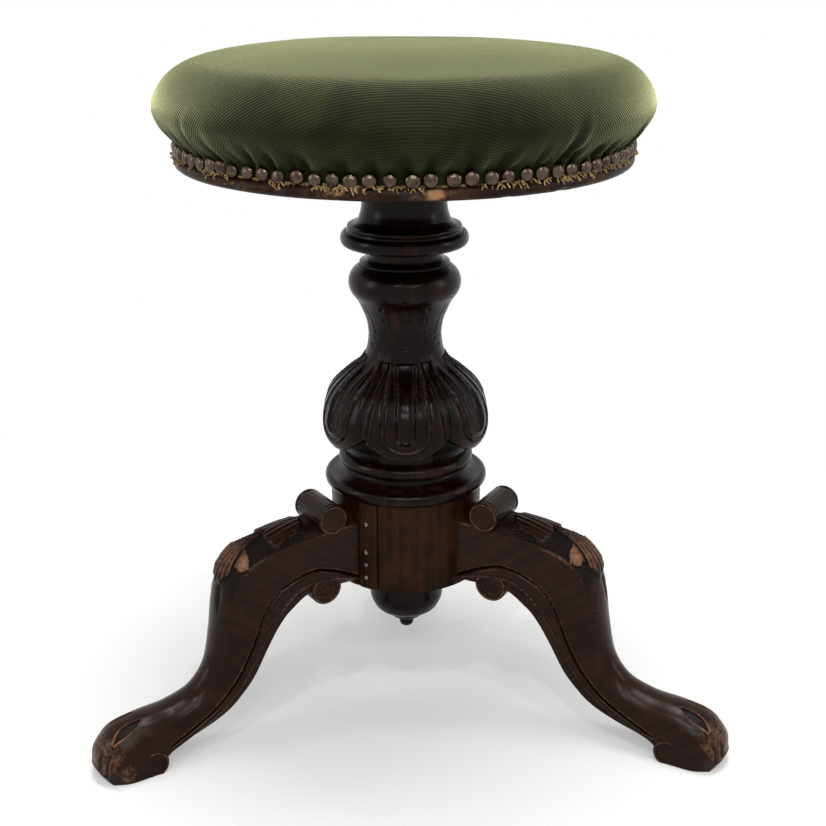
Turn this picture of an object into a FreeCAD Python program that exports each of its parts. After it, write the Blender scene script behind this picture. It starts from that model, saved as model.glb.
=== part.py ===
import FreeCAD, Part
import math
import os
from FreeCAD import Vector

# Revolving piano stool. Millimetres, +Z up, with the origin on the floor under the column's axis.
# The front faces -Y. The column carries three legs, and an iron screw in its bore carries the seat.

# Fits: every gap between two pieces is one of these
RUNNING_GAP = 0.3
LAYER_GAP = 0.3
GLUE_GAP = 0.1
SHANK_GAP = 0.05
THREAD_GAP = 0.35

# Hub, with the legs' sockets
HUB_BASE = 108.0
HUB_HEIGHT = 70.0
HUB_RADIUS = 58.0
SOCKET_DEPTH = 18.0
SOCKET_HEIGHT = 56.0
SOCKET_MOUTH = 12.0
SOCKET_BACK = 20.0

# Ring and torus over the hub
RING_HEIGHT = 15.0
RING_RADIUS = 62.4
RING_ARRIS = 1.5
TORUS_HEIGHT = 13.0
TORUS_RADIUS = 51.0
TORUS_NECK = 45.5

# Bulb with its lobes
BULB_HEIGHT = 75.0
BULB_RADIUS = 63.4
BULB_LIP = 7.0
LOBE_COUNT = 6
FLUTE_RADIUS = 7.0
FLUTE_DEPTH = 3.2
VALLEY_RADIUS = 4.0
VALLEY_DEPTH = 2.6
LOBE_ARC_RADIUS = 37.0
LOBE_ARC_BELOW = 32.0
LOBE_ARC_ABOVE = 84.0

# Waist, vase and necking
WAIST_HEIGHT = 35.0
WAIST_RADIUS = 27.3
BAND_RADIUS = 30.5
VASE_HEIGHT = 34.0
VASE_RADIUS = 41.3
VASE_FOOT = 32.0
VASE_SHOULDER = 36.5
NECKING_HEIGHT = 12.0
NECKING_RADIUS = 27.0
NECKING_BEAD = 33.0

# Screw, its nut and the stop on its tail
THREAD_LEAD = 8.0
THREAD_RADIUS = 13.0
THREAD_ROOT = 10.0
RIDGE_FOOT = 4.6
RIDGE_CREST = 2.6
SHANK_RADIUS = 12.5
TURNS = 13
NUT_RADIUS = 18.0
NUT_LENGTH = 42.0
NUT_FLANGE_RADIUS = 24.5
NUT_FLANGE = 4.0
STOP_ROOM = 2.0
WASHER_RADIUS = 17.5
WASHER_THICKNESS = 6.0
TAIL_RADIUS = 7.0
TAIL_NUT_FLATS = 20.0
TAIL_NUT_HEIGHT = 8.0
TAIL_END = 3.0
TAIL_PIN_RADIUS = 1.25
BORE_END_ROOM = 6.0

# Turned drop under the hub
DROP_RADIUS = 28.5
DROP_HEIGHT = 57.0
DROP_DISC = 13.5
DROP_BUTTON = 5.7
DROP_DOWEL_RADIUS = 10.0
DROP_DOWEL_LENGTH = 30.0

# Legs
LEG_ANGLES = {"left": -150.0, "right": -30.0, "back": 90.0}
LEG_WIDTH = 39.0
ROLL_RADIUS = 11.6
ROLL_REACH = 18.0
ROLL_HEIGHT = 168.0
SCROLL_RADIUS = 12.7
SCROLL_REACH = 24.0
SCROLL_HEIGHT = 112.0
HEEL_RADIUS = 11.0
HEEL_REACH = 228.0
HEEL_HEIGHT = 8.6
TOE_REACH = 267.0
TOE_HEIGHT = 13.0

# Repair strip in the hub
PATCH_START = -130.5
PATCH_END = -113.2
PATCH_THICKNESS = 6.0
PATCH_NAIL_ANGLE = -123.7
PATCH_NAIL_HEIGHTS = (9.0, 19.5, 30.0, 53.0)
PATCH_NAIL_RADIUS = 0.9
PATCH_NAIL_HEAD = 2.0
PATCH_NAIL_DOME = 0.6
PATCH_NAIL_LENGTH = 15.0

# Seat neck and collar
COLLAR_RADIUS = 47.4
COLLAR_HEIGHT = 18.0
NECK_RADIUS = 31.6
NECK_HEIGHT = 65.0
NECK_FLANGE_RADIUS = 52.0
NECK_FLANGE = 6.0

# Seat board and its iron plate
BOARD_RADIUS = 165.0
BOARD_BEAD = 8.5
BOARD_THICKNESS = 21.0
PLATE_RADIUS = 42.0
PLATE_THICKNESS = 4.0
RIVET_RADIUS = 9.0
RIVET_HEAD_RADIUS = 12.0
RIVET_HEAD = 3.0

# Cushion, measured above the board's underside
HEM_RADIUS = 162.0
HEM_TOP = 19.0
BULGE_RADIUS = 179.0
BULGE_HEIGHT = 42.0
SHOULDER_RADIUS = 150.0
SHOULDER_HEIGHT = 72.5
CROWN_HEIGHT = 83.5
COVER_THICKNESS = 1.2
SCRIM_THICKNESS = 0.7
WADDING_THICKNESS = 4.0
WADDING_FOOT = 5.0
FRAY = 1.6

# Nails and screws
SEAT_NAIL_COUNT = 82
SEAT_NAIL_HEAD = 4.8
SEAT_NAIL_DOME = 3.6
SEAT_NAIL_SHANK = 0.9
SEAT_NAIL_LENGTH = 14.0
SEAT_NAIL_HEIGHT = 13.3
PLATE_SCREW_COUNT = 6
PLATE_SCREW_CIRCLE = 29.0
NECK_SCREW_COUNT = 4
NECK_SCREW_CIRCLE = 47.0
NUT_SCREW_COUNT = 3
NUT_SCREW_CIRCLE = 21.3

# Heights worked out from those sizes
HUB_TOP = HUB_BASE + HUB_HEIGHT
RING_TOP = HUB_TOP + RING_HEIGHT
BULB_BASE = RING_TOP + TORUS_HEIGHT
BULB_TOP = BULB_BASE + BULB_HEIGHT
WAIST_TOP = BULB_TOP + WAIST_HEIGHT
VASE_TOP = WAIST_TOP + VASE_HEIGHT
COLUMN_TOP = VASE_TOP + NECKING_HEIGHT
NUT_BOTTOM = COLUMN_TOP - NUT_LENGTH
TRAVEL = TURNS * THREAD_LEAD
THREAD_TOP = COLUMN_TOP + RUNNING_GAP
THREAD_BOTTOM = NUT_BOTTOM - TRAVEL - STOP_ROOM
WASHER_TOP = THREAD_BOTTOM - RUNNING_GAP
TAIL_NUT_TOP = WASHER_TOP - WASHER_THICKNESS - RUNNING_GAP
TAIL_BOTTOM = TAIL_NUT_TOP - TAIL_NUT_HEIGHT - TAIL_END
BORE_BOTTOM = TAIL_BOTTOM - BORE_END_ROOM
COLLAR_BASE = COLUMN_TOP + RUNNING_GAP
BOARD_BASE = COLLAR_BASE + NECK_HEIGHT
BOARD_TOP = BOARD_BASE + BOARD_THICKNESS
BOARD_RIM = HEM_RADIUS - COVER_THICKNESS - SCRIM_THICKNESS - 2 * LAYER_GAP
RIM_STEP = BOARD_BASE + BOARD_BEAD
SCRIM_FOOT = RIM_STEP + GLUE_GAP
COVER_FOOT = SCRIM_FOOT + FRAY

Z_AXIS = Vector(0, 0, 1)
ORIGIN = Vector(0, 0, 0)


def outline_wire(points):
    """A closed wire in the XZ plane through (x, z) points.

    A third number is the arc's height over its chord, positive on the right of the way there.
    """
    edges = []
    for (x0, z0, *_), (x1, z1, *bulge) in zip(points, points[1:] + points[:1]):
        start, end = Vector(x0, 0, z0), Vector(x1, 0, z1)
        if bulge:
            right = Vector(z1 - z0, 0, x0 - x1).normalize()
            middle = (start + end) * 0.5 + right * bulge[0]
            edges.append(Part.Arc(start, middle, end).toShape())
        else:
            edges.append(Part.LineSegment(start, end).toShape())
    return Part.Wire(edges)


def turned(points):
    """The outline turned about the Z axis."""
    return Part.Face(outline_wire(points)).revolve(ORIGIN, Z_AXIS, 360)


def dome_bulge(radius, rise):
    """The arc's height over its chord from a dome's edge to its apex on the axis."""
    sphere = (radius ** 2 + rise ** 2) / (2 * rise)
    return sphere - math.sqrt(sphere ** 2 - (radius ** 2 + rise ** 2) / 4)


def rod(radius, bottom, top):
    """An upright cylinder on the Z axis."""
    return Part.makeCylinder(radius, top - bottom, Vector(0, 0, bottom))


def prism(corners, bottom, top):
    """An upright prism over (x, y) corners."""
    wire = Part.makePolygon([Vector(x, y, bottom) for x, y in corners + corners[:1]])
    return Part.Face(wire).extrude(Vector(0, 0, top - bottom))


def about_z(shape, angle):
    """A copy turned about the Z axis."""
    return shape.rotated(ORIGIN, Z_AXIS, angle)


def round_pattern(shape, count, start=0.0):
    """Copies of a shape, evenly spaced about the Z axis."""
    return [about_z(shape, start + i * 360.0 / count) for i in range(count)]


def point_out(shape, radius, height, angle):
    """A shape made along +Z at the origin, laid along the radius at one angle."""
    laid = shape.rotated(ORIGIN, Vector(0, 1, 0), 90)
    laid.translate(Vector(radius, 0, height))
    return about_z(laid, angle)


def wood_screw(head, shank, length):
    """A countersunk screw that points up, with its slotted head's face at z = 0."""
    tip = 2 * shank
    body = turned([(0, 0), (head, 0), (shank, head - shank), (shank, length - tip), (0, length)])
    slot = Part.makeBox(2.4 * head, 0.25 * head, 0.35 * head, Vector(-1.2 * head, -0.125 * head, 0))
    return body.cut(slot)


def screw_hole(head, shank, length):
    """The countersunk hole that such a screw fills."""
    wide, narrow = head + SHANK_GAP, shank + SHANK_GAP
    depth = length + SHANK_GAP
    return turned([(0, -1), (wide + 1, -1), (narrow, wide - narrow), (narrow, depth), (0, depth)])


def threaded_bar(gap, bottom, top):
    """A bar with the right-hand thread, larger by a gap, in step with every other bar of this lead."""
    root, crest = THREAD_ROOT + gap, THREAD_RADIUS + gap
    inside, foot, width = root - 0.5, RIDGE_FOOT / 2 + gap, RIDGE_CREST / 2 + gap
    first = (math.floor(bottom / THREAD_LEAD) - 1) * THREAD_LEAD
    height = (math.ceil((top - first) / THREAD_LEAD) + 1) * THREAD_LEAD
    section = Part.makePolygon([
        Vector(inside, 0, -foot),
        Vector(crest, 0, -width),
        Vector(crest, 0, width),
        Vector(inside, 0, foot),
        Vector(inside, 0, -foot),
    ])
    path = Part.Wire(Part.makeHelix(THREAD_LEAD, height, inside))
    ridge = path.makePipeShell([section], True, True)
    ridge.translate(Vector(0, 0, first))
    bar = rod(root, first - THREAD_LEAD, first + height + THREAD_LEAD).fuse(ridge)
    return bar.common(rod(crest + 1, bottom, top))


# Stand


def leg_socket(gap=0.0):
    """Corners of a dovetail that points along +X, drawn in by a gap."""
    mouth, back = SOCKET_MOUTH / 2 - gap, SOCKET_BACK / 2 - gap
    outer, inner = HUB_RADIUS + SOCKET_DEPTH / 4, HUB_RADIUS - SOCKET_DEPTH + gap
    return [(inner, -back), (outer, -mouth), (outer, mouth), (inner, back)]


def lobe_groove(radius, depth):
    """A round groove down the bulb's side, in the XZ plane."""
    centre_r = BULB_RADIUS - LOBE_ARC_RADIUS
    centre_z = BULB_BASE + LOBE_ARC_RADIUS * math.sin(math.radians(LOBE_ARC_BELOW)) + BULB_LIP
    ring = LOBE_ARC_RADIUS + radius - depth
    sweep = LOBE_ARC_BELOW + LOBE_ARC_ABOVE
    groove = Part.makeTorus(ring, radius, ORIGIN, Z_AXIS, -180, 180, sweep)
    groove.rotate(ORIGIN, Z_AXIS, -LOBE_ARC_BELOW)
    groove.rotate(ORIGIN, Vector(1, 0, 0), 90)
    groove.translate(Vector(centre_r, 0, centre_z))
    return groove


def column_outline():
    """The column from its axis at the foot, up the outside and back to the axis."""
    return [
        (0, HUB_BASE),
        (HUB_RADIUS, HUB_BASE),
        (HUB_RADIUS, HUB_TOP),
        (HUB_RADIUS + RING_ARRIS, HUB_TOP + RING_ARRIS),
        (RING_RADIUS, HUB_TOP + RING_HEIGHT * 0.42, 1.0),
        (RING_RADIUS - 3.0, HUB_TOP + RING_HEIGHT * 0.7, 1.0),
        (TORUS_NECK + 1.0, RING_TOP - 1.5, -1.5),
        (TORUS_NECK + 1.0, RING_TOP),
        (TORUS_NECK, RING_TOP + 1.5),
        (TORUS_NECK + 1.5, BULB_BASE, TORUS_RADIUS - TORUS_NECK),
        (BULB_RADIUS, BULB_BASE + BULB_HEIGHT * 0.34, 5.5),
        (BULB_RADIUS - 16.8, BULB_TOP - 14.0, 5.3),
        (BAND_RADIUS, BULB_TOP, -0.8),
        (BAND_RADIUS - 1.0, BULB_TOP + 2.0),
        (VASE_FOOT, WAIST_TOP, WAIST_RADIUS - BAND_RADIUS),
        (VASE_RADIUS - 3.0, WAIST_TOP + 11.5, -0.5),
        (VASE_SHOULDER, VASE_TOP - 1.3, 4.6),
        (NECKING_BEAD, VASE_TOP + 1.0),
        (NECKING_BEAD, VASE_TOP + 3.5, 0.8),
        (NECKING_RADIUS, VASE_TOP + 6.0, -0.8),
        (NECKING_RADIUS, COLUMN_TOP),
        (0, COLUMN_TOP),
    ]


def patch_block(gap):
    """The angular block that the repair strip fills, drawn in by a gap."""
    turn = math.degrees(gap / HUB_RADIUS)
    start, sweep = PATCH_START + turn, PATCH_END - PATCH_START - 2 * turn
    inner = HUB_RADIUS - PATCH_THICKNESS + gap
    face = outline_wire([(inner, HUB_BASE), (HUB_RADIUS, HUB_BASE), (HUB_RADIUS, HUB_TOP - gap),
                         (inner, HUB_TOP - gap)])
    return about_z(Part.Face(face).revolve(ORIGIN, Z_AXIS, sweep), start)


def patch_nail_set(radius_gap):
    """The strip's nails, or their holes when a gap is given."""
    head, shank = PATCH_NAIL_HEAD + radius_gap, PATCH_NAIL_RADIUS + radius_gap
    nail = turned([(0, 0), (shank, 0), (shank, PATCH_NAIL_LENGTH), (head, PATCH_NAIL_LENGTH),
                   (0, PATCH_NAIL_LENGTH + PATCH_NAIL_DOME, dome_bulge(head, PATCH_NAIL_DOME))])
    foot = HUB_RADIUS + SHANK_GAP - PATCH_NAIL_LENGTH
    return [point_out(nail, foot - radius_gap, HUB_BASE + z, PATCH_NAIL_ANGLE) for z in PATCH_NAIL_HEIGHTS]


def column():
    """Turned and carved pillar with the hub, bored for the screw."""
    wood = turned(column_outline())
    grooves = round_pattern(lobe_groove(FLUTE_RADIUS, FLUTE_DEPTH), LOBE_COUNT, -90)
    grooves += round_pattern(lobe_groove(VALLEY_RADIUS, VALLEY_DEPTH), LOBE_COUNT, -60)
    bore = rod(NUT_RADIUS + GLUE_GAP, BORE_BOTTOM, COLUMN_TOP + 1)
    recess = rod(NUT_FLANGE_RADIUS + GLUE_GAP, COLUMN_TOP - NUT_FLANGE, COLUMN_TOP + 1)
    dowel = rod(DROP_DOWEL_RADIUS + GLUE_GAP, HUB_BASE - 1, HUB_BASE + DROP_DOWEL_LENGTH + GLUE_GAP)
    sockets = [about_z(prism(leg_socket(), HUB_BASE - 1, HUB_BASE + SOCKET_HEIGHT), angle)
               for angle in LEG_ANGLES.values()]
    holes = nut_screw_set(screw_hole)
    return wood.cut([bore, recess, dowel, patch_block(0.0)] + grooves + sockets + holes
                    + patch_nail_set(SHANK_GAP))


def hub_patch():
    """Strip of wood let into the hub beside the left leg."""
    return patch_block(GLUE_GAP).cut(patch_nail_set(SHANK_GAP))


def nut_screw_set(maker):
    """The nut's screws or their holes, pointing down from the column's top."""
    screw = maker(2.8, 1.4, 15.0).rotated(ORIGIN, Vector(1, 0, 0), 180)
    screw.translate(Vector(NUT_SCREW_CIRCLE, 0, COLUMN_TOP))
    return round_pattern(screw, NUT_SCREW_COUNT, 30)


def column_nut():
    """Flanged iron bush with the inside thread."""
    body = rod(NUT_RADIUS, NUT_BOTTOM, COLUMN_TOP)
    flange = rod(NUT_FLANGE_RADIUS, COLUMN_TOP - NUT_FLANGE, COLUMN_TOP)
    thread = threaded_bar(THREAD_GAP, NUT_BOTTOM - 1, COLUMN_TOP + 1)
    return body.fuse(flange).cut(thread).cut(nut_screw_set(screw_hole))


def pendant_drop():
    """Turned drop with the dowel that holds it in the hub."""
    foot = HUB_BASE - DROP_HEIGHT
    return turned([
        (0, foot),
        (DROP_BUTTON, foot + 4.0, dome_bulge(DROP_BUTTON, 4.0)),
        (DROP_BUTTON - 1.2, foot + 7.8, 0.4),
        (DROP_DISC - 3.0, foot + 9.5),
        (DROP_DISC, foot + 13.0, 0.6),
        (DROP_DISC + 2.0, foot + 15.5),
        (DROP_RADIUS - 2.0, foot + 23.5, 2.0),
        (DROP_RADIUS, foot + 36.0, 1.2),
        (DROP_RADIUS, HUB_BASE),
        (DROP_DOWEL_RADIUS, HUB_BASE),
        (DROP_DOWEL_RADIUS, HUB_BASE + DROP_DOWEL_LENGTH),
        (0, HUB_BASE + DROP_DOWEL_LENGTH),
    ])


def leg_station(top, bottom, width, crown):
    """A section of the leg between a point on its upper line and one on its lower line.

    The underside is flat, the sides are straight and the upper side is an arc as high as the crown.
    """
    foot = Vector(bottom[0], 0, bottom[1])
    up = Vector(top[0] - bottom[0], 0, top[1] - bottom[1])
    depth = up.Length
    up.normalize()
    half = Vector(0, width / 2, 0)
    low = [foot - half, foot + half]
    high = [foot + up * (depth - crown) - half, foot + up * (depth - crown) + half]
    return Part.Wire([
        Part.LineSegment(low[0], low[1]).toShape(),
        Part.LineSegment(low[1], high[1]).toShape(),
        Part.Arc(high[1], foot + up * depth, high[0]).toShape(),
        Part.LineSegment(high[0], low[0]).toShape(),
    ])


def cross_roll(reach, height, radius, width):
    """A cylinder across the leg."""
    return Part.makeCylinder(radius, width, Vector(reach, -width / 2, height), Vector(0, 1, 0))


def leg_blank():
    """The leg along +X, with its rolls, before its inner end is fitted to the hub."""
    inside = HUB_RADIUS - 6.0
    near, base, width = HUB_RADIUS, HUB_BASE, LEG_WIDTH
    stations = [
        ((inside, base + 60.0), (inside, base + 4.0), width, 8.0),
        ((near + 14.0, base + 59.5), (near + 12.0, base + 4.0), width, 8.5),
        ((near + 36.0, base + 58.5), (near + 37.0, base + 5.0), width, 10.0),
        ((near + 62.0, base + 55.5), (near + 56.0, base - 3.0), width, 11.0),
        ((near + 86.0, base + 49.5), (near + 67.0, base - 14.0), width, 11.0),
        ((near + 101.5, base + 36.0), (near + 76.0, base - 28.0), width - 1.0, 11.0),
        ((near + 108.5, base + 12.0), (near + 82.5, base - 41.0), width - 4.0, 12.0),
        ((170.5, 95.0), (146.5, 56.0), 33.0, 12.0),
        ((177.0, 69.0), (155.0, 45.5), 31.5, 12.0),
        ((189.0, 53.5), (168.5, 33.5), 31.5, 11.0),
        ((208.0, 46.0), (188.0, 22.5), 33.0, 10.5),
        ((236.0, 42.5), (215.0, 13.0), 37.0, 12.0),
        ((255.0, 36.0), (232.0, 0.0), 41.0, 12.0),
        ((TOE_REACH - 1.0, 22.0), (250.0, 0.0), 39.0, 11.0),
        ((TOE_REACH, TOE_HEIGHT), (TOE_REACH - 8.0, 0.0), 30.0, 6.0),
    ]
    body = Part.makeLoft([leg_station(*s) for s in stations], True, False)
    rolls = [
        cross_roll(near + ROLL_REACH, ROLL_HEIGHT, ROLL_RADIUS, width),
        cross_roll(near + SCROLL_REACH, SCROLL_HEIGHT, SCROLL_RADIUS, width),
        cross_roll(HEEL_REACH, HEEL_HEIGHT, HEEL_RADIUS, width),
    ]
    floor = Part.makeBox(400, 200, 60, Vector(0, -100, -60))
    return body.fuse(rolls).cut(floor)


def leg():
    """Carved leg along +X, coped to the hub and with its dovetail."""
    hub = rod(HUB_RADIUS + GLUE_GAP, -1, HUB_TOP + 60)
    ring = rod(RING_RADIUS + RUNNING_GAP, HUB_TOP - GLUE_GAP, HUB_TOP + 60)
    dovetail = prism(leg_socket(GLUE_GAP), HUB_BASE + 4.0, HUB_BASE + SOCKET_HEIGHT - GLUE_GAP)
    return leg_blank().cut([hub, ring]).fuse(dovetail).removeSplitter()


# Screw


def seat_screw():
    """Threaded iron spindle, riveted into the seat plate and turned down for the washer."""
    plate_top = BOARD_BASE + PLATE_THICKNESS
    tail = turned([
        (0, TAIL_BOTTOM),
        (TAIL_RADIUS - 1, TAIL_BOTTOM),
        (TAIL_RADIUS, TAIL_BOTTOM + 1),
        (TAIL_RADIUS, THREAD_BOTTOM),
        (0, THREAD_BOTTOM),
    ]).cut(tail_pin(SHANK_GAP))
    shank = turned([
        (0, THREAD_TOP),
        (SHANK_RADIUS, THREAD_TOP),
        (SHANK_RADIUS, BOARD_BASE),
        (RIVET_RADIUS, BOARD_BASE),
        (RIVET_RADIUS, plate_top),
        (RIVET_HEAD_RADIUS, plate_top),
        (0, plate_top + RIVET_HEAD, dome_bulge(RIVET_HEAD_RADIUS, RIVET_HEAD)),
    ])
    return threaded_bar(0.0, THREAD_BOTTOM, THREAD_TOP).fuse([tail, shank])


def guide_washer():
    """Loose washer on the tail, which runs in the bore and stops under the nut."""
    return rod(WASHER_RADIUS, WASHER_TOP - WASHER_THICKNESS, WASHER_TOP).cut(
        rod(TAIL_RADIUS + RUNNING_GAP, TAIL_BOTTOM, THREAD_BOTTOM))


def tail_nut():
    """Hexagon nut on the tail."""
    corner = TAIL_NUT_FLATS / math.sqrt(3)
    corners = [(corner * math.cos(math.radians(60 * i)), corner * math.sin(math.radians(60 * i)))
               for i in range(6)]
    nut = prism(corners, TAIL_NUT_TOP - TAIL_NUT_HEIGHT, TAIL_NUT_TOP)
    return nut.cut(rod(TAIL_RADIUS + SHANK_GAP, TAIL_BOTTOM, TAIL_NUT_TOP + 1)).cut(tail_pin(SHANK_GAP))


def tail_pin(gap=0.0):
    """Pin across the tail nut, between two of its flats."""
    length = TAIL_NUT_FLATS + 2.0
    middle = TAIL_NUT_TOP - TAIL_NUT_HEIGHT / 2
    return Part.makeCylinder(TAIL_PIN_RADIUS + gap, length, Vector(0, -length / 2, middle), Vector(0, 1, 0))


# Seat


def seat_neck():
    """Turned neck and collar, bored for the spindle's shank."""
    collar = COLLAR_BASE
    bore = SHANK_RADIUS + GLUE_GAP
    return turned([
        (bore, collar),
        (NECKING_BEAD, collar),
        (COLLAR_RADIUS - 2.5, collar + 3.2, -0.4),
        (COLLAR_RADIUS, collar + 7.0, 0.6),
        (COLLAR_RADIUS - 1.4, collar + 12.6, 0.5),
        (COLLAR_RADIUS - 4.4, collar + 13.4),
        (COLLAR_RADIUS - 5.3, collar + 16.0, 0.5),
        (COLLAR_RADIUS - 5.4, collar + COLLAR_HEIGHT, 0.4),
        (NECK_RADIUS + 2.0, collar + COLLAR_HEIGHT + 6.0, -2.0),
        (NECK_RADIUS, collar + COLLAR_HEIGHT + 15.0, -0.4),
        (NECK_RADIUS, BOARD_BASE - NECK_FLANGE - 12.0),
        (NECK_FLANGE_RADIUS - 4.0, BOARD_BASE - NECK_FLANGE, -4.0),
        (NECK_FLANGE_RADIUS, BOARD_BASE - NECK_FLANGE),
        (NECK_FLANGE_RADIUS, BOARD_BASE, 1.2),
        (bore, BOARD_BASE),
    ]).cut(neck_screw_set(screw_hole))


def neck_screw_set(maker):
    """The neck's screws or their holes, pointing up through its flange."""
    screw = maker(3.0, 1.8, 20.0)
    screw.translate(Vector(NECK_SCREW_CIRCLE, 0, BOARD_BASE - NECK_FLANGE))
    return round_pattern(screw, NECK_SCREW_COUNT, 45)


def plate_screw_set(maker):
    """The plate's screws or their holes, pointing up into the board."""
    screw = maker(4.0, 2.2, 17.0)
    screw.translate(Vector(PLATE_SCREW_CIRCLE, 0, BOARD_BASE))
    return round_pattern(screw, PLATE_SCREW_COUNT, 0)


def seat_plate():
    """Iron plate in the board's underside, into which the spindle is riveted."""
    hole = rod(RIVET_RADIUS + SHANK_GAP, BOARD_BASE - 1, BOARD_BASE + PLATE_THICKNESS + 1)
    return rod(PLATE_RADIUS, BOARD_BASE, BOARD_BASE + PLATE_THICKNESS).cut(
        [hole] + plate_screw_set(screw_hole))


def seat_nail_set(gap=0.0):
    """Domed nails round the rim, or their holes when a gap is given."""
    apex = (0, SEAT_NAIL_LENGTH + SEAT_NAIL_DOME, dome_bulge(SEAT_NAIL_HEAD, SEAT_NAIL_DOME))
    head = [(SEAT_NAIL_HEAD, SEAT_NAIL_LENGTH), apex]
    shank = SEAT_NAIL_SHANK + gap
    sides = [(0, -gap), (0.3, -gap), (shank, 2.5), (shank, SEAT_NAIL_LENGTH)]
    nail = turned(sides + ([(0, SEAT_NAIL_LENGTH)] if gap else head))
    seat = HEM_RADIUS + SHANK_GAP + SEAT_NAIL_HEAD ** 2 / (2 * HEM_RADIUS)
    laid = point_out(nail, seat - SEAT_NAIL_LENGTH, BOARD_BASE + SEAT_NAIL_HEIGHT, 0)
    return round_pattern(laid, SEAT_NAIL_COUNT, -90)


def seat_board():
    """Round board with a bead below the nailed rim."""
    bead = BOARD_RADIUS - BOARD_BEAD / 2
    wood = turned([
        (0, BOARD_BASE),
        (bead, BOARD_BASE),
        (bead, RIM_STEP, BOARD_BEAD / 2 - 0.01),
        (BOARD_RIM, RIM_STEP),
        (BOARD_RIM, BOARD_TOP - 1),
        (BOARD_RIM - 1, BOARD_TOP),
        (0, BOARD_TOP),
    ])
    plate = rod(PLATE_RADIUS + GLUE_GAP, BOARD_BASE - 1, BOARD_BASE + PLATE_THICKNESS)
    rivet = rod(RIVET_HEAD_RADIUS + GLUE_GAP, BOARD_BASE, BOARD_BASE + PLATE_THICKNESS + RIVET_HEAD + 1)
    return wood.cut([plate, rivet] + plate_screw_set(screw_hole) + neck_screw_set(screw_hole)
                    + seat_nail_set(SHANK_GAP))


def cushion(foot, hem_inset, inset):
    """A solid cushion of the seat's form, smaller by one inset at the hem and another over the dome."""
    base = BOARD_BASE
    hem = HEM_RADIUS - hem_inset
    shoulder = (SHOULDER_RADIUS - 0.3 * inset, base + SHOULDER_HEIGHT - 0.95 * inset)
    crown = base + CROWN_HEIGHT - inset
    return turned([
        (0, foot),
        (hem, foot),
        (hem, base + HEM_TOP),
        (BULGE_RADIUS - inset, base + BULGE_HEIGHT, 3.0),
        (shoulder[0], shoulder[1], 6.0),
        (0, crown, dome_bulge(shoulder[0], crown - shoulder[1])),
    ])


def seat_cover():
    """Velvet drawn over the cushion, with its hem round the board's rim."""
    inner = cushion(COVER_FOOT - 1, COVER_THICKNESS, COVER_THICKNESS)
    return cushion(COVER_FOOT, 0, 0).cut(inner).cut(seat_nail_set(SHANK_GAP))


def wadding():
    """Cotton layer between the velvet and the scrim, thinned out above the hem."""
    outer = COVER_THICKNESS + LAYER_GAP
    inner = outer + WADDING_THICKNESS
    foot = BOARD_BASE + HEM_TOP + WADDING_FOOT
    whole = cushion(BOARD_TOP, outer, outer).cut(cushion(BOARD_BASE, outer, inner))
    return whole.common(rod(2 * BULGE_RADIUS, foot, foot + 2 * CROWN_HEIGHT))


def scrim():
    """Hessian over the stuffing, nailed round the rim under the velvet."""
    hem = COVER_THICKNESS + LAYER_GAP
    dome = hem + WADDING_THICKNESS + LAYER_GAP
    inner = cushion(SCRIM_FOOT - 1, hem + SCRIM_THICKNESS, dome + SCRIM_THICKNESS)
    return cushion(SCRIM_FOOT, hem, dome).cut(inner).cut(seat_nail_set(SHANK_GAP))


def stuffing():
    """Domed stuffing on the board."""
    hem = COVER_THICKNESS + SCRIM_THICKNESS + 2 * LAYER_GAP
    dome = hem + WADDING_THICKNESS + LAYER_GAP
    below = rod(2 * BULGE_RADIUS, BOARD_BASE - 1, BOARD_TOP)
    return cushion(BOARD_BASE, hem, dome).cut(below)


def save(name, shapes):
    """Writes one sub-part's file: a solid, or a group of separate solids."""
    solids = [solid for shape in shapes for solid in shape.Solids]
    whole = solids[0] if len(solids) == 1 else Part.makeCompound(solids)
    print(name, len(solids), "solids", round(whole.Volume / 1000, 2), "cm3", whole.isValid())
    whole.exportStep(os.path.join("parts", name + ".step"))


os.makedirs("parts", exist_ok=True)
save("column", [column()])
save("column_nut", [column_nut()])
save("nut_screws", nut_screw_set(wood_screw))
save("pendant_drop", [pendant_drop()])
save("hub_patch", [hub_patch()])
save("patch_nails", patch_nail_set(0.0))
for side, angle in LEG_ANGLES.items():
    save("leg_" + side, [about_z(leg(), angle)])
save("guide_washer", [guide_washer()])
save("tail_nut", [tail_nut()])
save("tail_pin", [tail_pin()])
save("seat_screw", [seat_screw()])
save("seat_neck", [seat_neck()])
save("neck_screws", neck_screw_set(wood_screw))
save("seat_plate", [seat_plate()])
save("plate_screws", plate_screw_set(wood_screw))
save("seat_board", [seat_board()])
save("stuffing", [stuffing()])
save("scrim", [scrim()])
save("wadding", [wadding()])
save("seat_cover", [seat_cover()])
save("seat_nails", seat_nail_set())
print("travel", TRAVEL, "mm in", TURNS, "turns, column top", COLUMN_TOP)
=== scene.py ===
import logging
import math
from dataclasses import dataclass
from enum import Enum
from typing import Any, Callable, Sequence

import bmesh
import bpy
import numpy as np
from mathutils import Matrix, Vector


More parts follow.
